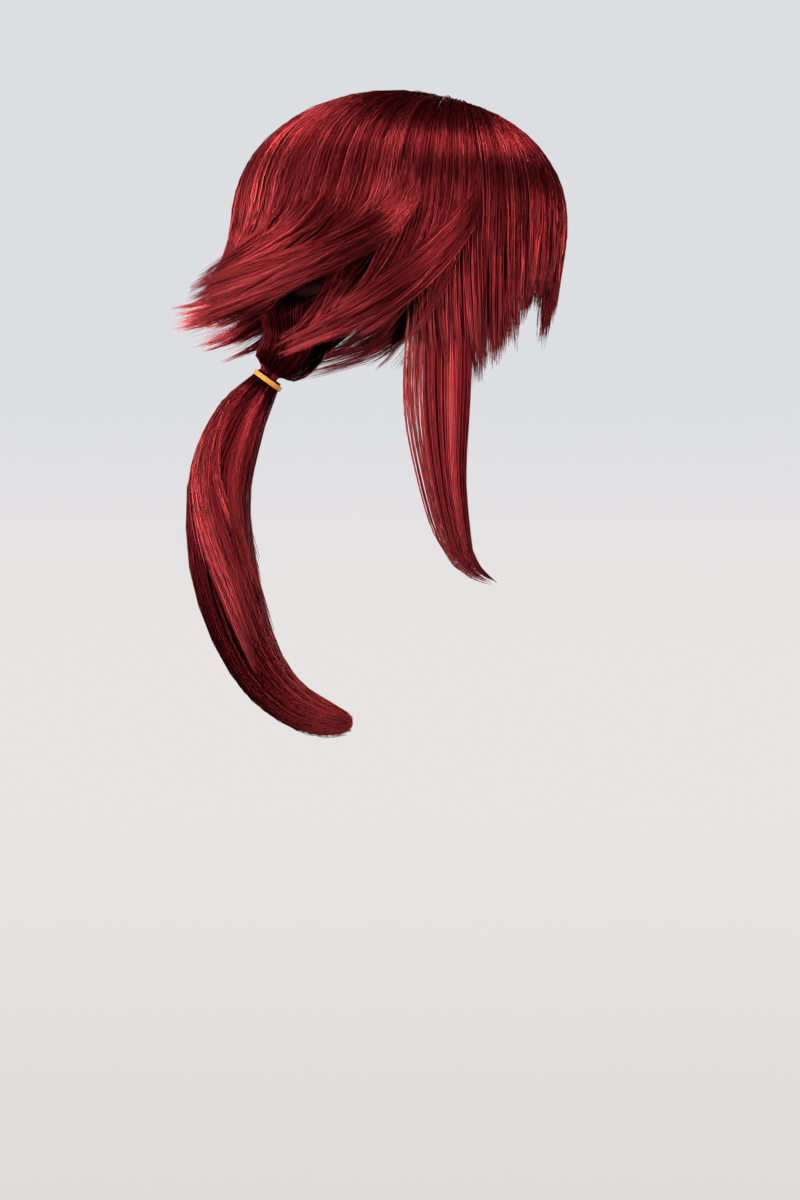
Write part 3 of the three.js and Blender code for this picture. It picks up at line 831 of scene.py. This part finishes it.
def comb(rng, row):
    """Strands of a row, gathered into clumps that follow the locks of its coat"""
    coat, count = row.coat, row.count
    steps = rng.uniform(*CLUMP_JITTER, int(CLUMP_SPARE * (row.high - row.low) / row.clump)) * row.clump
    centres = row.low + np.cumsum(steps)
    centres = centres[centres < row.high]
    clumps = len(centres)
    lock_angles = np.array([lock.azimuth for lock in coat.locks])
    nearest = lock_angles[np.abs(centres[:, None] - lock_angles).argmin(axis=1)]
    aim = lerp(centres, nearest, row.lock_pull)
    azimuth = rng.uniform(row.low, row.high, count)
    clump = np.abs(azimuth[:, None] - centres).argmin(axis=1)
    inside = azimuth - centres[clump]
    stray = np.where(rng.random(count) < STRAY_SHARE, STRAY_SPREAD, 1.0)
    loose = rng.random(count) < row.fill
    hold = np.where(loose, LOOSE_HOLD, 1.0)

    def spread(name, clump_spread, strand_spread):
        own = column(coat.locks, name, "azimuth", azimuth)
        base = column(coat.locks, name, "azimuth", aim) + rng.normal(0, clump_spread, clumps)
        return lerp(own, base[clump], hold) + rng.normal(0, strand_spread, count) * stray

    sweep = (rng.random(clumps) < row.sweep).astype(float)
    swept = sweep * rng.uniform(SWEEP_LEAST, 1, clumps) * np.clip((SWEEP_END - centres) / SWEEP_FADE, 0, 1)
    # Painted sheen: strands towards the back are made paler where the light falls on them.
    tone = coat.tone + BACK_PAINTED_SHEEN * smooth(*BACK_ANGLES, azimuth)
    tone = tone + rng.uniform(-CLUMP_TONE, CLUMP_TONE, clumps)[clump] + rng.normal(0, STRAND_TONE, count)
    depth = 1 - np.abs(rng.normal(0, DEPTH_SPREAD, count)) - LOOSE_SINK * loose
    root = lerp(*row.roots, rng.random(count) ** ROOT_CROWDING)
    shorter = REACH_POINT * hold * (2 * inside / row.clump) ** 2
    reach = 1 - np.abs(rng.normal(0, REACH_SPREAD, count)) - shorter
    free_depth = rng.choice((-1, 1), count) * (1 - np.abs(rng.normal(0, FREE_DEPTH_SPREAD, count)))
    lift = rng.normal(0, LIFT_SPREAD, clumps)[clump] + sweep[clump] * hold * SWEEP_LIFT
    aside = CLUMP_TURN / coat.wisp * inside * hold
    return Comb(
        azimuth=azimuth - CLUMP_CLOSING * inside,
        root=root,
        reach=np.clip(reach, LEAST_REACH, 1),
        depth=np.maximum(depth, DEEPEST),
        free_depth=free_depth,
        lift=lift,
        root_z=column(coat.locks, "root_z", "azimuth", azimuth),
        leave_z=column(coat.locks, "leave_z", "azimuth", azimuth),
        tip_azimuth=spread("tip_azimuth", *TIP_TURNS) + aside + SWEEP_TURN * swept[clump] * hold,
        tip_out=spread("tip_out", TIP_OUTS[0] * coat.wisp, TIP_OUTS[1]),
        tip_z=spread("tip_z", TIP_HEIGHTS[0] * coat.wisp, TIP_HEIGHTS[1]) + SWEEP_RISE * swept[clump] * hold,
        tone=tone,
        drift=rng.normal(0, DRIFT_SPREAD, (count, 3)) * stray[:, None],
    )


def coat_curves(coat, strands, rng):
    """Curves of strands that run over the cap and then hang or flip free"""
    share = np.linspace(0, 1, STATIONS)
    way = strands.root[:, None] + share * (1 + strands.reach - strands.root)[:, None]
    held = np.minimum(way, 1)
    free = np.clip(way - 1, 0, 1)
    leave = cap_direction(strands.azimuth, strands.leave_z)
    leave_out = column(coat.held, "lift", "reach", 1.0)
    if coat.from_whorl:
        level = WHORL_Y / (CAP_HALF_LENGTH + LOCK_LIFT)
        whorl = np.array((0, level, math.sqrt(1 - level**2)))
        crest = cap_direction(strands.azimuth, np.full(len(way), CREST_Z))
        path = over_crest(np.broadcast_to(whorl, leave.shape), crest, leave, held)
    else:
        path = between(cap_direction(strands.azimuth, strands.root_z), leave, held)
        edge = over_cap(leave, leave_out)
        ratio = np.hypot(edge[:, 0] / CAP_HALF_WIDTH, edge[:, 1] / CAP_HALF_LENGTH)
        leave_out = ((ratio - 1) * CAP_HALF_LENGTH)[:, None]
    depth = lerp(strands.depth[:, None], strands.free_depth[:, None], smooth(*LEAVE_BLEND, way))
    tuck = (ROOT_TUCK + LATE_TUCK * smooth(*LATE_ROOTS, strands.root))[:, None]
    tuck = (1 - smooth(*ROOT_BLEND, way - strands.root[:, None])) * tuck
    thick = column(coat.held, "thick", "reach", held) * coat.held_thick
    lift = column(coat.held, "lift", "reach", held) + strands.lift[:, None] * smooth(*LIFT_BLEND, way) - tuck
    on_cap = over_cap(path, lift + depth * thick)
    drop = column(coat.free, "drop", "reach", free)
    turn = column(coat.free, "turn", "reach", free)
    flare = column(coat.free, "flare", "reach", free)
    loose_thick = column(coat.free, "thick", "reach", free) * coat.free_thick
    azimuth = lerp(strands.azimuth[:, None], strands.tip_azimuth[:, None], turn)
    out = lerp(leave_out, strands.tip_out[:, None], flare) + depth * loose_thick
    off_cap = beside_cap(azimuth, out, lerp(strands.leave_z[:, None], strands.tip_z[:, None], drop))
    stations = np.where((way > 1)[..., None], off_cap, on_cap)
    wave = np.sin(np.pi * (WAVES * share[None, :] + rng.random((len(way), 1)) * 2)) * share
    stations = stations + strands.drift[:, None] * wave[..., None]
    for _ in range(SMOOTHING):
        stations[:, 1:-1] = 0.25 * stations[:, :-2] + 0.5 * stations[:, 1:-1] + 0.25 * stations[:, 2:]
    return spline(stations, CURVE_POINTS)


def add_strands(hair, curves, rings, radius, tone, cross, tip_width=FINE_TIP):
    """Tapered strands along curves; cross is a rough crosswise direction"""
    taper = np.interp(np.linspace(0, 1, rings), TAPER_PLACES, (*TAPER_WIDTHS, tip_width))
    curves = even_rings(curves, rings)
    middle = curves[:, rings // 2]
    bend = np.cross(middle - curves[:, 0], curves[:, -1] - middle)
    hint = (unit(bend) + HINT_SHARE * np.array(cross))[:, None]
    hair.add(curves, hint, radius[:, None] * taper[None, :], np.clip(tone, 0, 1) * TONE_TOP)


def strand_widths(rng, widths, count, times=1):
    """Half widths of strands, evenly spread between two shares of the usual one"""
    return times * bpy.context.scene.wig_hair.strand_radius * rng.uniform(*widths, count)


def add_row(hair, row, side, rng):
    """Strands of one side of a row"""
    strands = comb(rng, row)
    curves = signed(side, coat_curves(row.coat, strands, rng))
    radius = strand_widths(rng, COAT_WIDTHS, row.count, row.width)
    add_strands(hair, curves, row.rings, radius, strands.tone, COAT_CROSS)


class WigPiece:
    """What all the piece operators share"""

    bl_options = {"REGISTER", "UNDO"}


class WIG_OT_cap(WigPiece, bpy.types.Operator):
    """Finish the cap as a smooth net with sewn weft rows"""

    bl_idname = "wig.cap"
    bl_label = "Finish the cap"

    def execute(self, context):
        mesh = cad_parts["wig_cap"].data.copy()
        shell = bmesh.new()
        shell.from_mesh(mesh)
        bmesh.ops.remove_doubles(shell, verts=shell.verts, dist=WELD)
        bmesh.ops.smooth_vert(
            shell, verts=shell.verts, factor=CAP_SMOOTHING, use_axis_x=True, use_axis_y=True, use_axis_z=True
        )
        shell.to_mesh(mesh)
        shell.free()
        mesh.shade_smooth()
        piece = new_piece("cap_net", mesh, cap_finish(context.scene.wig_trim))
        rounding = piece.modifiers.new("rounding", "SUBSURF")
        rounding.levels = rounding.render_levels = CAP_ROUNDING
        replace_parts(piece, "wig_cap")
        return {"FINISHED"}


def cap_finish(looks):
    """Fine net with weft rows sewn across it"""
    finish = Finish("woven_net")
    place = finish.place()
    _, _, height = finish.axes(place)
    band = finish.fade(height.pingpong(WEFT_ROW), WEFT_EDGES)
    holes = finish.node(
        "ShaderNodeTexVoronoi", {"feature": "DISTANCE_TO_EDGE"}, {"Vector": place, "Scale": NET_SCALE}
    )
    thread = finish.fade(holes, NET_EDGES, (1, 0), "LINEAR")
    stitch = finish.noise(place, STITCH_SCALE, 2)
    cloth = finish.mix(thread, opaque(looks.net, NET_SHADE), opaque(looks.net))
    return finish.done({
        "Base Color": finish.mix(band * stitch, cloth, opaque(looks.weft)),
        "Roughness": 0.95 - 0.15 * band,
        "Specular IOR Level": 0.08,
        "Normal": finish.bump(*NET_BUMP, NET_RELIEF * thread + band * (1 + stitch)),
    })


class WIG_OT_crown(WigPiece, bpy.types.Operator):
    """Lay the crown hair from the whorl over the dome to its flipped ends"""

    bl_idname = "wig.crown"
    bl_label = "Lay the crown hair"

    def execute(self, context):
        for name, side, seed in (("crown_strands_right", RIGHT, 11), ("crown_strands_left", LEFT, 12)):
            hair = HairMesh()
            add_row(hair, CROWN_ROW, side, np.random.default_rng(seed))
            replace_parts(hair.piece(name, hair_material()), "crown_hair")
        return {"FINISHED"}


class WIG_OT_fringe(WigPiece, bpy.types.Operator):
    """Lay the fringe from the whorl over the front of the cap"""

    bl_idname = "wig.fringe"
    bl_label = "Lay the fringe"

    def execute(self, context):
        hair = HairMesh()
        for side, seed in ((RIGHT, 21), (LEFT, 22)):
            rng = np.random.default_rng(seed)
            for row in FRINGE_ROWS:
                add_row(hair, row, side, rng)
        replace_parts(hair.piece("fringe_strands", hair_material()), "fringe")
        return {"FINISHED"}


class WIG_OT_back(WigPiece, bpy.types.Operator):
    """Lay the lower row of flipped hair under the crown hair"""

    bl_idname = "wig.back_layer"
    bl_label = "Lay the back layer"

    def execute(self, context):
        hair = HairMesh()
        for side, seed in ((RIGHT, 31), (LEFT, 32)):
            rng = np.random.default_rng(seed)
            for row in BACK_ROWS:
                add_row(hair, row, side, rng)
        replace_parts(hair.piece("back_strands", hair_material()), "back_layer")
        return {"FINISHED"}


class WIG_OT_sweeps(WigPiece, bpy.types.Operator):
    """Lay the locks that sweep back over the ears"""

    bl_idname = "wig.sweeps"
    bl_label = "Lay the swept locks"

    def execute(self, context):
        for name, side, seed in (("swept_strands_right", RIGHT, 71), ("swept_strands_left", LEFT, 72)):
            hair = HairMesh()
            rng = np.random.default_rng(seed)
            for fan in FANS:
                add_fan(hair, fan, side, rng)
            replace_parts(hair.piece(name, hair_material()), "crown_hair")
        return {"FINISHED"}


def add_fan(hair, fan, side, rng):
    """Pointed locks spread between the first and the last of a fan"""
    count, locks = fan.strands, fan.locks
    lock = rng.integers(0, locks, count)
    centre = (np.arange(locks) + rng.uniform(*FAN_PLACES, locks)) / locks
    run = np.linspace(0, 1, len(fan.first))
    spread = rng.normal(0, FAN_SPREAD / locks, count)[:, None] * (1 - FAN_CLOSING * run)
    points = lerp(np.array(fan.first), np.array(fan.last), (centre[lock][:, None] + spread)[..., None])
    loose = rng.normal(0, 1, (locks, 3))[lock][:, None] * np.array(FAN_LOOSE) * run[:, None]
    frizz = rng.normal(0, 1, (count, 3))[:, None] * np.array(FAN_FRIZZ)
    azimuth, out, z = np.moveaxis(points + loose + frizz, -1, 0)
    out = out - FAN_TUCK * (run < FAN_TUCK_END)
    over = over_cap(cap_direction(azimuth, z), out)
    stations = np.where((z > -CAP_RISE)[..., None], over, beside_cap(azimuth, out, z))
    curves = along(spline(stations, CURVE_POINTS), np.zeros(count), short_of_one(rng, *FAN_REACH, count))
    tone = fan.tone + rng.uniform(-FAN_LOCK_TONE, FAN_LOCK_TONE, locks)[lock] + rng.normal(0, FAN_TONE, count)
    radius = strand_widths(rng, FAN_WIDTHS, count)
    add_strands(hair, signed(side, curves), FAN_RINGS, radius, tone, COAT_CROSS)


class WIG_OT_side_locks(WigPiece, bpy.types.Operator):
    """Hang the long locks in front of the ears"""

    bl_idname = "wig.side_locks"
    bl_label = "Hang the side locks"

    def execute(self, context):
        for name, side, seed in (("side_lock_right", RIGHT, 41), ("side_lock_left", LEFT, 42)):
            hair = HairMesh()
            add_side_lock(hair, side, np.random.default_rng(seed))
            piece = hair.piece(name.replace("lock", "strands"), hair_material())
            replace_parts(piece, name)
        return {"FINISHED"}


def add_side_lock(hair, side, rng):
    """A flat lock of separate wisps that draw together towards the tip"""
    count = SIDE_STRANDS
    azimuth, out, z, wide, thick = np.array(SIDE_STEPS).T
    middle = beside_cap(azimuth, out + UNDER_LIFT, z)
    forward = unit(np.gradient(middle, axis=0))
    outward = np.array((-1.0, 0, 0))
    outward = unit(outward - (forward @ outward)[:, None] * forward)
    edge = np.cross(outward, forward)
    places = np.concatenate((np.linspace(*THIN_ACROSS, THIN_WISPS), np.linspace(*FULL_ACROSS, FULL_WISPS)))
    shares = np.repeat((THIN_SHARE, FULL_SHARE / FULL_WISPS), (THIN_WISPS, FULL_WISPS))
    wisp = rng.choice(len(places), count, p=shares / shares.sum())
    across = places[wisp] + rng.normal(0, np.where(wisp < THIN_WISPS, THIN_SPREAD, FULL_SPREAD), count)
    across = np.clip(across, -1, 1)[:, None, None]
    deep = rng.uniform(-1, 1, count)[:, None, None]
    stations = middle + edge * wide[:, None] * across + outward * thick[:, None] * deep
    reach = rng.uniform(WISP_REACH, 1, len(places))[wisp] * short_of_one(rng, *SIDE_REACH, count)
    curves = along(spline(stations, CURVE_POINTS), rng.uniform(0, SIDE_ROOTS, count), reach)
    full = rng.uniform(*FULL_TONES, FULL_WISPS - DARK_WISPS)
    # The thin wisps' pale tone is painted light against the shade at the lock's back edge.
    shade = np.concatenate((np.full(THIN_WISPS, THIN_PAINTED_LIGHT_TONE), full, np.full(DARK_WISPS, DARK_TONE)))
    tone = shade[wisp] + rng.normal(0, SIDE_TONE, count)
    radius = strand_widths(rng, SIDE_WIDTHS, count)
    add_strands(hair, signed(side, curves), SIDE_RINGS, radius, tone, SIDE_CROSS)


class WIG_OT_nape(WigPiece, bpy.types.Operator):
    """Draw the nape hair together into the tie"""

    bl_idname = "wig.nape"
    bl_label = "Gather the nape hair"

    def execute(self, context):
        hair = HairMesh()
        add_nape(hair, np.random.default_rng(51))
        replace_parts(hair.piece("nape_strands", hair_material()), "nape_gather")
        return {"FINISHED"}


def on_tie_axis(above):
    return np.array(TIE_CENTRE) + above * np.array((0, -math.sin(TIE_LEAN), math.cos(TIE_LEAN)))


def add_nape(hair, rng):
    """Strands down the cap, then back into the round neck that the tie holds"""
    count = NAPE_STRANDS
    azimuth = rng.uniform(*NAPE_ANGLES, count)
    side = rng.choice((LEFT, RIGHT), count)[:, None]

    def at(name):
        return column(NAPE_LOCKS, name, "azimuth", azimuth)

    depth = rng.uniform(-1, 1, count) * GATHER_HALF_THICK
    mirror = np.concatenate((side, np.ones((count, 2))), axis=1)
    start = over_cap(cap_direction(azimuth, at("root_z") + NAPE_RISE), GATHER_LIFT + depth) * mirror
    inwards = cap_direction(lerp(azimuth, 180, NAPE_CLOSING), at("leave_z"))
    leave = over_cap(inwards, NAPE_LIFT * GATHER_LIFT + depth) * mirror
    axis = on_tie_axis(1) - on_tie_axis(0)
    entry = on_tie_axis(NECK_TOP)
    towards = leave - entry
    towards = unit(towards - (towards @ axis)[:, None] * axis)
    towards = towards * (NECK_RADIUS * np.sqrt(rng.random(count)))[:, None]
    neck = entry + NAPE_ABOVE * axis + towards
    past = entry - NAPE_BELOW * axis + towards
    bow = unit(start - np.array((0, 0, -CAP_RISE))) * at("bow")[:, None]
    middle = lerp(leave, neck, NAPE_MIDDLE) + bow - np.array((0, 0, 1)) * at("sag")[:, None]
    curves = spline(np.stack((start, leave, middle, neck, past), axis=1), CURVE_POINTS)
    # Dark tones: painted shade of the hollow under the flipped hair.
    tone = rng.normal(*NAPE_SHADED_TONES, count)
    radius = strand_widths(rng, NAPE_WIDTHS, count)
    add_strands(hair, curves, NAPE_RINGS, radius, tone, NAPE_CROSS)


class WIG_OT_ponytail(WigPiece, bpy.types.Operator):
    """Hang the ponytail from the tie to its curled end"""

    bl_idname = "wig.ponytail"
    bl_label = "Hang the ponytail"

    def execute(self, context):
        hair = HairMesh()
        rng = np.random.default_rng(61)
        add_long_tail(hair, rng)
        add_short_tail(hair, rng)
        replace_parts(hair.piece("ponytail_strands", hair_material()), "ponytail")
        return {"FINISHED"}


def add_long_tail(hair, rng):
    """Long strands, most of them near the outside of the tail"""
    count, locks = LONG_STRANDS, LONG_LOCKS
    lock = rng.integers(0, locks, count)
    turn = rng.uniform(-np.pi, np.pi, locks)[lock] + rng.normal(0, LONG_SPREAD, count)
    loose = rng.random(count) < LONG_LOOSE
    turn = np.where(loose, rng.uniform(-np.pi, np.pi, count), turn)
    drift = rng.uniform(0, LONG_DRIFT, locks)[lock] + rng.normal(0, LONG_DRIFT_SPREAD, count)
    radial = short_of_one(rng, *LONG_DEPTH, count)
    shorter = OUTER_SHORTER * np.maximum(radial - OUTER_START, 0) ** 2
    reach = 1 - np.abs(rng.normal(0, LONG_REACH, count)) - shorter
    # Low tones differing by lock: painted shade on the lower tail.
    tone = rng.uniform(*LONG_SHADED_TONES, locks)[lock] + rng.normal(0, TAIL_TONE, count)
    turns = turn[:, None] + (np.sin(turn) * drift)[:, None] * TAIL_RUN
    fray = (rng.normal(0, FRAY_SPREAD, locks)[lock] - FRAY_SINK)[:, None] * smooth(*FRAY_BLEND, TAIL_RUN)
    add_tail_strands(hair, turns, radial[:, None] + fray, reach, tone, rng)


def add_short_tail(hair, rng):
    """Shorter strands that sweep round the tail to its front, and a few locks inside its curl"""
    count, locks = SHORT_STRANDS, SHORT_LOCKS
    lock = rng.integers(0, locks, count)
    way = np.where(lock % 2, LEFT, RIGHT)
    inner = lock % INNER_CYCLE > INNER_AFTER
    first = np.where(inner, INNER_START, rng.uniform(*SHORT_STARTS, locks)[lock])
    first = first + rng.normal(0, SHORT_SPREAD, count)
    sweep = np.where(inner, INNER_SWEEP, rng.uniform(*SHORT_SWEEPS, locks)[lock])
    sweep = sweep + rng.normal(0, SHORT_SWEEP_SPREAD, count)
    reach = rng.uniform(*SHORT_REACH, locks)[lock] * np.where(inner, INNER_REACH, 1)
    reach = reach * (1 - np.abs(rng.normal(0, SHORT_REACH_SPREAD, count)))
    flare = np.where(inner, INNER_FLARE, SHORT_FLARE)[:, None] * smooth(*SHORT_FLARE_BLEND, TAIL_RUN)
    lift = 1 + rng.normal(0, SHORT_LIFT_SPREAD, count)[:, None] + flare
    # High tones differing by lock: painted sheen on the swept locks.
    tone = rng.uniform(*SHORT_SHEEN_TONES, locks)[lock] - INNER_DARKER * inner + rng.normal(0, TAIL_TONE, count)
    turns = way[:, None] * (first[:, None] + sweep[:, None] * smooth(*SHORT_BEND, TAIL_RUN))
    add_tail_strands(hair, turns, lift, reach, tone, rng)


def add_tail_strands(hair, turns, radial, reach, tone, rng):
    """Strands at angles round the tail's sections, counted from the back"""
    neck = [on_tie_axis(NECK_TOP), on_tie_axis(-NECK_FOOT)]
    middle = np.array(neck + [(0, step.y, step.z) for step in TAIL_STEPS])
    deep = np.array([NECK_RADIUS] * 2 + [step.deep for step in TAIL_STEPS])
    broad = np.array([NECK_RADIUS] * 2 + [step.broad for step in TAIL_STEPS])
    forward = unit(np.gradient(middle, axis=0))
    back = np.array((0, 1.0, 0))
    back = unit(back - (forward @ back)[:, None] * forward)
    aside = np.cross(back, forward)
    across, behind = broad * np.sin(turns) * radial, deep * np.cos(turns) * radial
    stations = middle + aside * across[..., None] + back * behind[..., None]
    curves = along(spline(stations, CURVE_POINTS), np.zeros(len(turns)), reach)
    radius = strand_widths(rng, TAIL_WIDTHS, len(turns))
    add_strands(hair, curves, TAIL_RINGS, radius, tone, TAIL_CROSS, BLUNT_TIP)


class WIG_OT_tie(WigPiece, bpy.types.Operator):
    """Wind the elastic round the neck of the ponytail"""

    bl_idname = "wig.tie"
    bl_label = "Wind the hair tie"

    def execute(self, context):
        looks = context.scene.wig_trim
        wire = TIE_HEIGHT / (2 * looks.wraps)
        upright = Matrix.Rotation(math.pi / 2, 3, "X")
        tie = bmesh.new()
        for wrap in range(looks.wraps):
            above = (2 * wrap + 1 - looks.wraps) * wire * TIE_PACKING
            made = bmesh.ops.create_circle(
                tie, cap_ends=False, segments=TIE_SEGMENTS, radius=TIE_FATNESS * wire
            )
            ring = made["verts"]
            bmesh.ops.rotate(tie, verts=ring, cent=(0, 0, 0), matrix=upright)
            bmesh.ops.translate(tie, verts=ring, vec=(TIE_RADIUS - TIE_SINK, 0, above))
            edges = list({edge for vert in ring for edge in vert.link_edges})
            spin_round(tie, ring + edges, TIE_STEPS)
        bmesh.ops.remove_doubles(tie, verts=tie.verts, dist=TIE_WELD)
        bmesh.ops.recalc_face_normals(tie, faces=tie.faces)
        bmesh.ops.rotate(tie, verts=tie.verts, cent=(0, 0, 0), matrix=Matrix.Rotation(TIE_LEAN, 3, "X"))
        bmesh.ops.translate(tie, verts=tie.verts, vec=TIE_CENTRE)
        mesh = smooth_mesh("tie_elastic", tie)
        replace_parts(new_piece("tie_elastic", mesh, elastic_finish(looks)), "hair_tie")
        return {"FINISHED"}


def spin_round(shape, profile, steps):
    """Turns a profile once round the upright axis"""
    bmesh.ops.spin(
        shape, geom=profile, cent=(0, 0, 0), axis=(0, 0, 1), angle=2 * math.pi, steps=steps, use_merge=True
    )


def smooth_mesh(name, shape):
    """A smooth-shaded mesh of a finished shape"""
    mesh = bpy.data.meshes.new(name)
    shape.to_mesh(mesh)
    shape.free()
    mesh.shade_smooth()
    return mesh


def elastic_finish(looks):
    """Golden covered elastic with a fine rib"""
    finish = Finish("covered_elastic")
    place = finish.place()
    rib = finish.noise(place, RIB_SCALE, 2)
    wear = finish.noise(place, WEAR_SCALE, 3)
    return finish.done({
        "Base Color": finish.mix(WEAR_SHARE * wear, opaque(looks.elastic), opaque(looks.elastic, WEAR_SHADE)),
        "Roughness": 0.6 + 0.2 * rib,
        "Specular IOR Level": 0.2,
        "Normal": finish.bump(*RIB_BUMP, rib),
    })


class WIG_OT_stage(bpy.types.Operator):
    """Set the floor, backdrop, lights and camera"""

    bl_idname = "wig.stage"
    bl_label = "Set the studio"

    def execute(self, context):
        looks = context.scene.wig_stage
        add_backdrop(looks)
        for lamp in LAMPS:
            add_light(lamp, getattr(looks, lamp.name + "_power"))
        world = bpy.data.worlds.new("studio")
        world.use_nodes = True
        sky = world.node_tree.nodes["Background"]
        sky.inputs["Color"].default_value = SKY_COLOUR
        sky.inputs["Strength"].default_value = SKY_STRENGTH
        context.scene.world = world
        context.scene.view_settings.view_transform = "Standard"
        add_camera(context)
        return {"FINISHED"}


def add_backdrop(looks):
    """A round floor that curves up into a low wall on all sides"""
    flat = FLOOR_REACH - FLOOR_BEND
    bowl = bmesh.new()
    profile = [bowl.verts.new((0, 0, 0)), bowl.verts.new((flat, 0, 0))]
    for step in range(1, BEND_STEPS + 1):
        turn = step / BEND_STEPS * math.pi / 2
        rise = FLOOR_BEND * (1 - math.cos(turn))
        profile.append(bowl.verts.new((flat + FLOOR_BEND * math.sin(turn), 0, rise)))
    profile.append(bowl.verts.new((FLOOR_REACH, 0, FLOOR_BEND + WALL_HEIGHT)))
    edges = [bowl.edges.new(pair) for pair in zip(profile, profile[1:])]
    spin_round(bowl, profile + edges, FLOOR_STEPS)
    bmesh.ops.remove_doubles(bowl, verts=bowl.verts, dist=WELD)
    bmesh.ops.recalc_face_normals(bowl, faces=bowl.faces)
    bmesh.ops.reverse_faces(bowl, faces=bowl.faces)
    bmesh.ops.translate(bowl, verts=bowl.verts, vec=(0, 0, looks.floor_z))
    mesh = smooth_mesh("studio_floor", bowl)
    mesh.materials.append(paper_finish(looks))
    floor = bpy.data.objects.new("studio_floor", mesh)
    floor.visible_glossy = False
    bpy.context.scene.collection.objects.link(floor)


def paper_finish(looks):
    """Paper that glows by itself, less on the camera's side"""
    finish = Finish("studio_paper")
    across, _, height = finish.axes(finish.place())
    rise = finish.fade(height, (looks.floor_z, looks.floor_z + FLOOR_BEND))
    far = finish.fade(across, (-FLOOR_REACH, FAR_END * FLOOR_REACH), FAR_GLOW)
    colour = finish.mix(rise, opaque(looks.cloth), opaque(looks.wall))
    return finish.done({
        "Base Color": BLACK,
        "Specular IOR Level": 0,
        "Emission Color": finish.mix(far, BLACK, colour),
        "Emission Strength": 1,
    })


def add_light(lamp, power):
    """A soft box that faces the middle of the wig"""
    box = bpy.data.lights.new(lamp.name, "AREA")
    box.shape = "ELLIPSE"
    box.size, box.size_y = lamp.size
    box.energy = power
    box.color = LAMP_COLOUR
    light = bpy.data.objects.new(lamp.name, box)
    light.location = lamp.place
    middle = (CAD_BOX[0] + CAD_BOX[1]) / 2 + LAMP_AIM
    light.rotation_euler = (middle - Vector(lamp.place)).to_track_quat("-Z", "Y").to_euler()
    light.visible_camera = False
    bpy.context.scene.collection.objects.link(light)


def add_camera(context):
    """A level camera on the wearer's right, framed as the photograph is"""
    lens = bpy.data.cameras.new("side_view")
    lens.sensor_width = CAMERA_SENSOR
    lens.lens = CAMERA_LENS
    lens.shift_y = CAMERA_SHIFT
    camera = bpy.data.objects.new("side_view", lens)
    camera.location = CAMERA_PLACE
    camera.rotation_euler = (math.pi / 2, 0, -math.pi / 2)
    context.scene.collection.objects.link(camera)
    context.scene.camera = camera


class WIG_PT_looks(bpy.types.Panel):
    """Lists the steps that dress the wig"""

    bl_label = "Layered wig"
    bl_idname = "WIG_PT_looks"
    bl_space_type = "VIEW_3D"
    bl_region_type = "UI"
    bl_category = "Wig"

    def draw(self, context):
        for step in STEPS:
            self.layout.operator(step.bl_idname)
        for group in GROUPS:
            looks = getattr(context.scene, group)
            box = self.layout.box()
            for name in looks.__annotations__:
                box.prop(looks, name)


STEPS = (
    WIG_OT_cap, WIG_OT_crown, WIG_OT_sweeps, WIG_OT_fringe, WIG_OT_back, WIG_OT_side_locks, WIG_OT_nape,
    WIG_OT_ponytail, WIG_OT_tie, WIG_OT_stage,
)
GROUPS = {"wig_hair": WigHairLooks, "wig_trim": WigTrimLooks, "wig_stage": WigStageLooks}


def register():
    for group in GROUPS.values():
        bpy.utils.register_class(group)
    for name, group in GROUPS.items():
        setattr(bpy.types.Scene, name, bpy.props.PointerProperty(type=group))
    for step in (*STEPS, WIG_PT_looks):
        bpy.utils.register_class(step)


def unregister():
    for step in reversed((*STEPS, WIG_PT_looks)):
        bpy.utils.unregister_class(step)
    for name, group in GROUPS.items():
        delattr(bpy.types.Scene, name)
        bpy.utils.unregister_class(group)


def main():
    register()
    bpy.ops.wig.cap()
    bpy.ops.wig.crown()
    bpy.ops.wig.sweeps()
    bpy.ops.wig.fringe()
    bpy.ops.wig.back_layer()
    bpy.ops.wig.side_locks()
    bpy.ops.wig.nape()
    bpy.ops.wig.ponytail()
    bpy.ops.wig.tie()
    bpy.ops.wig.stage()


if __name__ == "__main__":
    main()
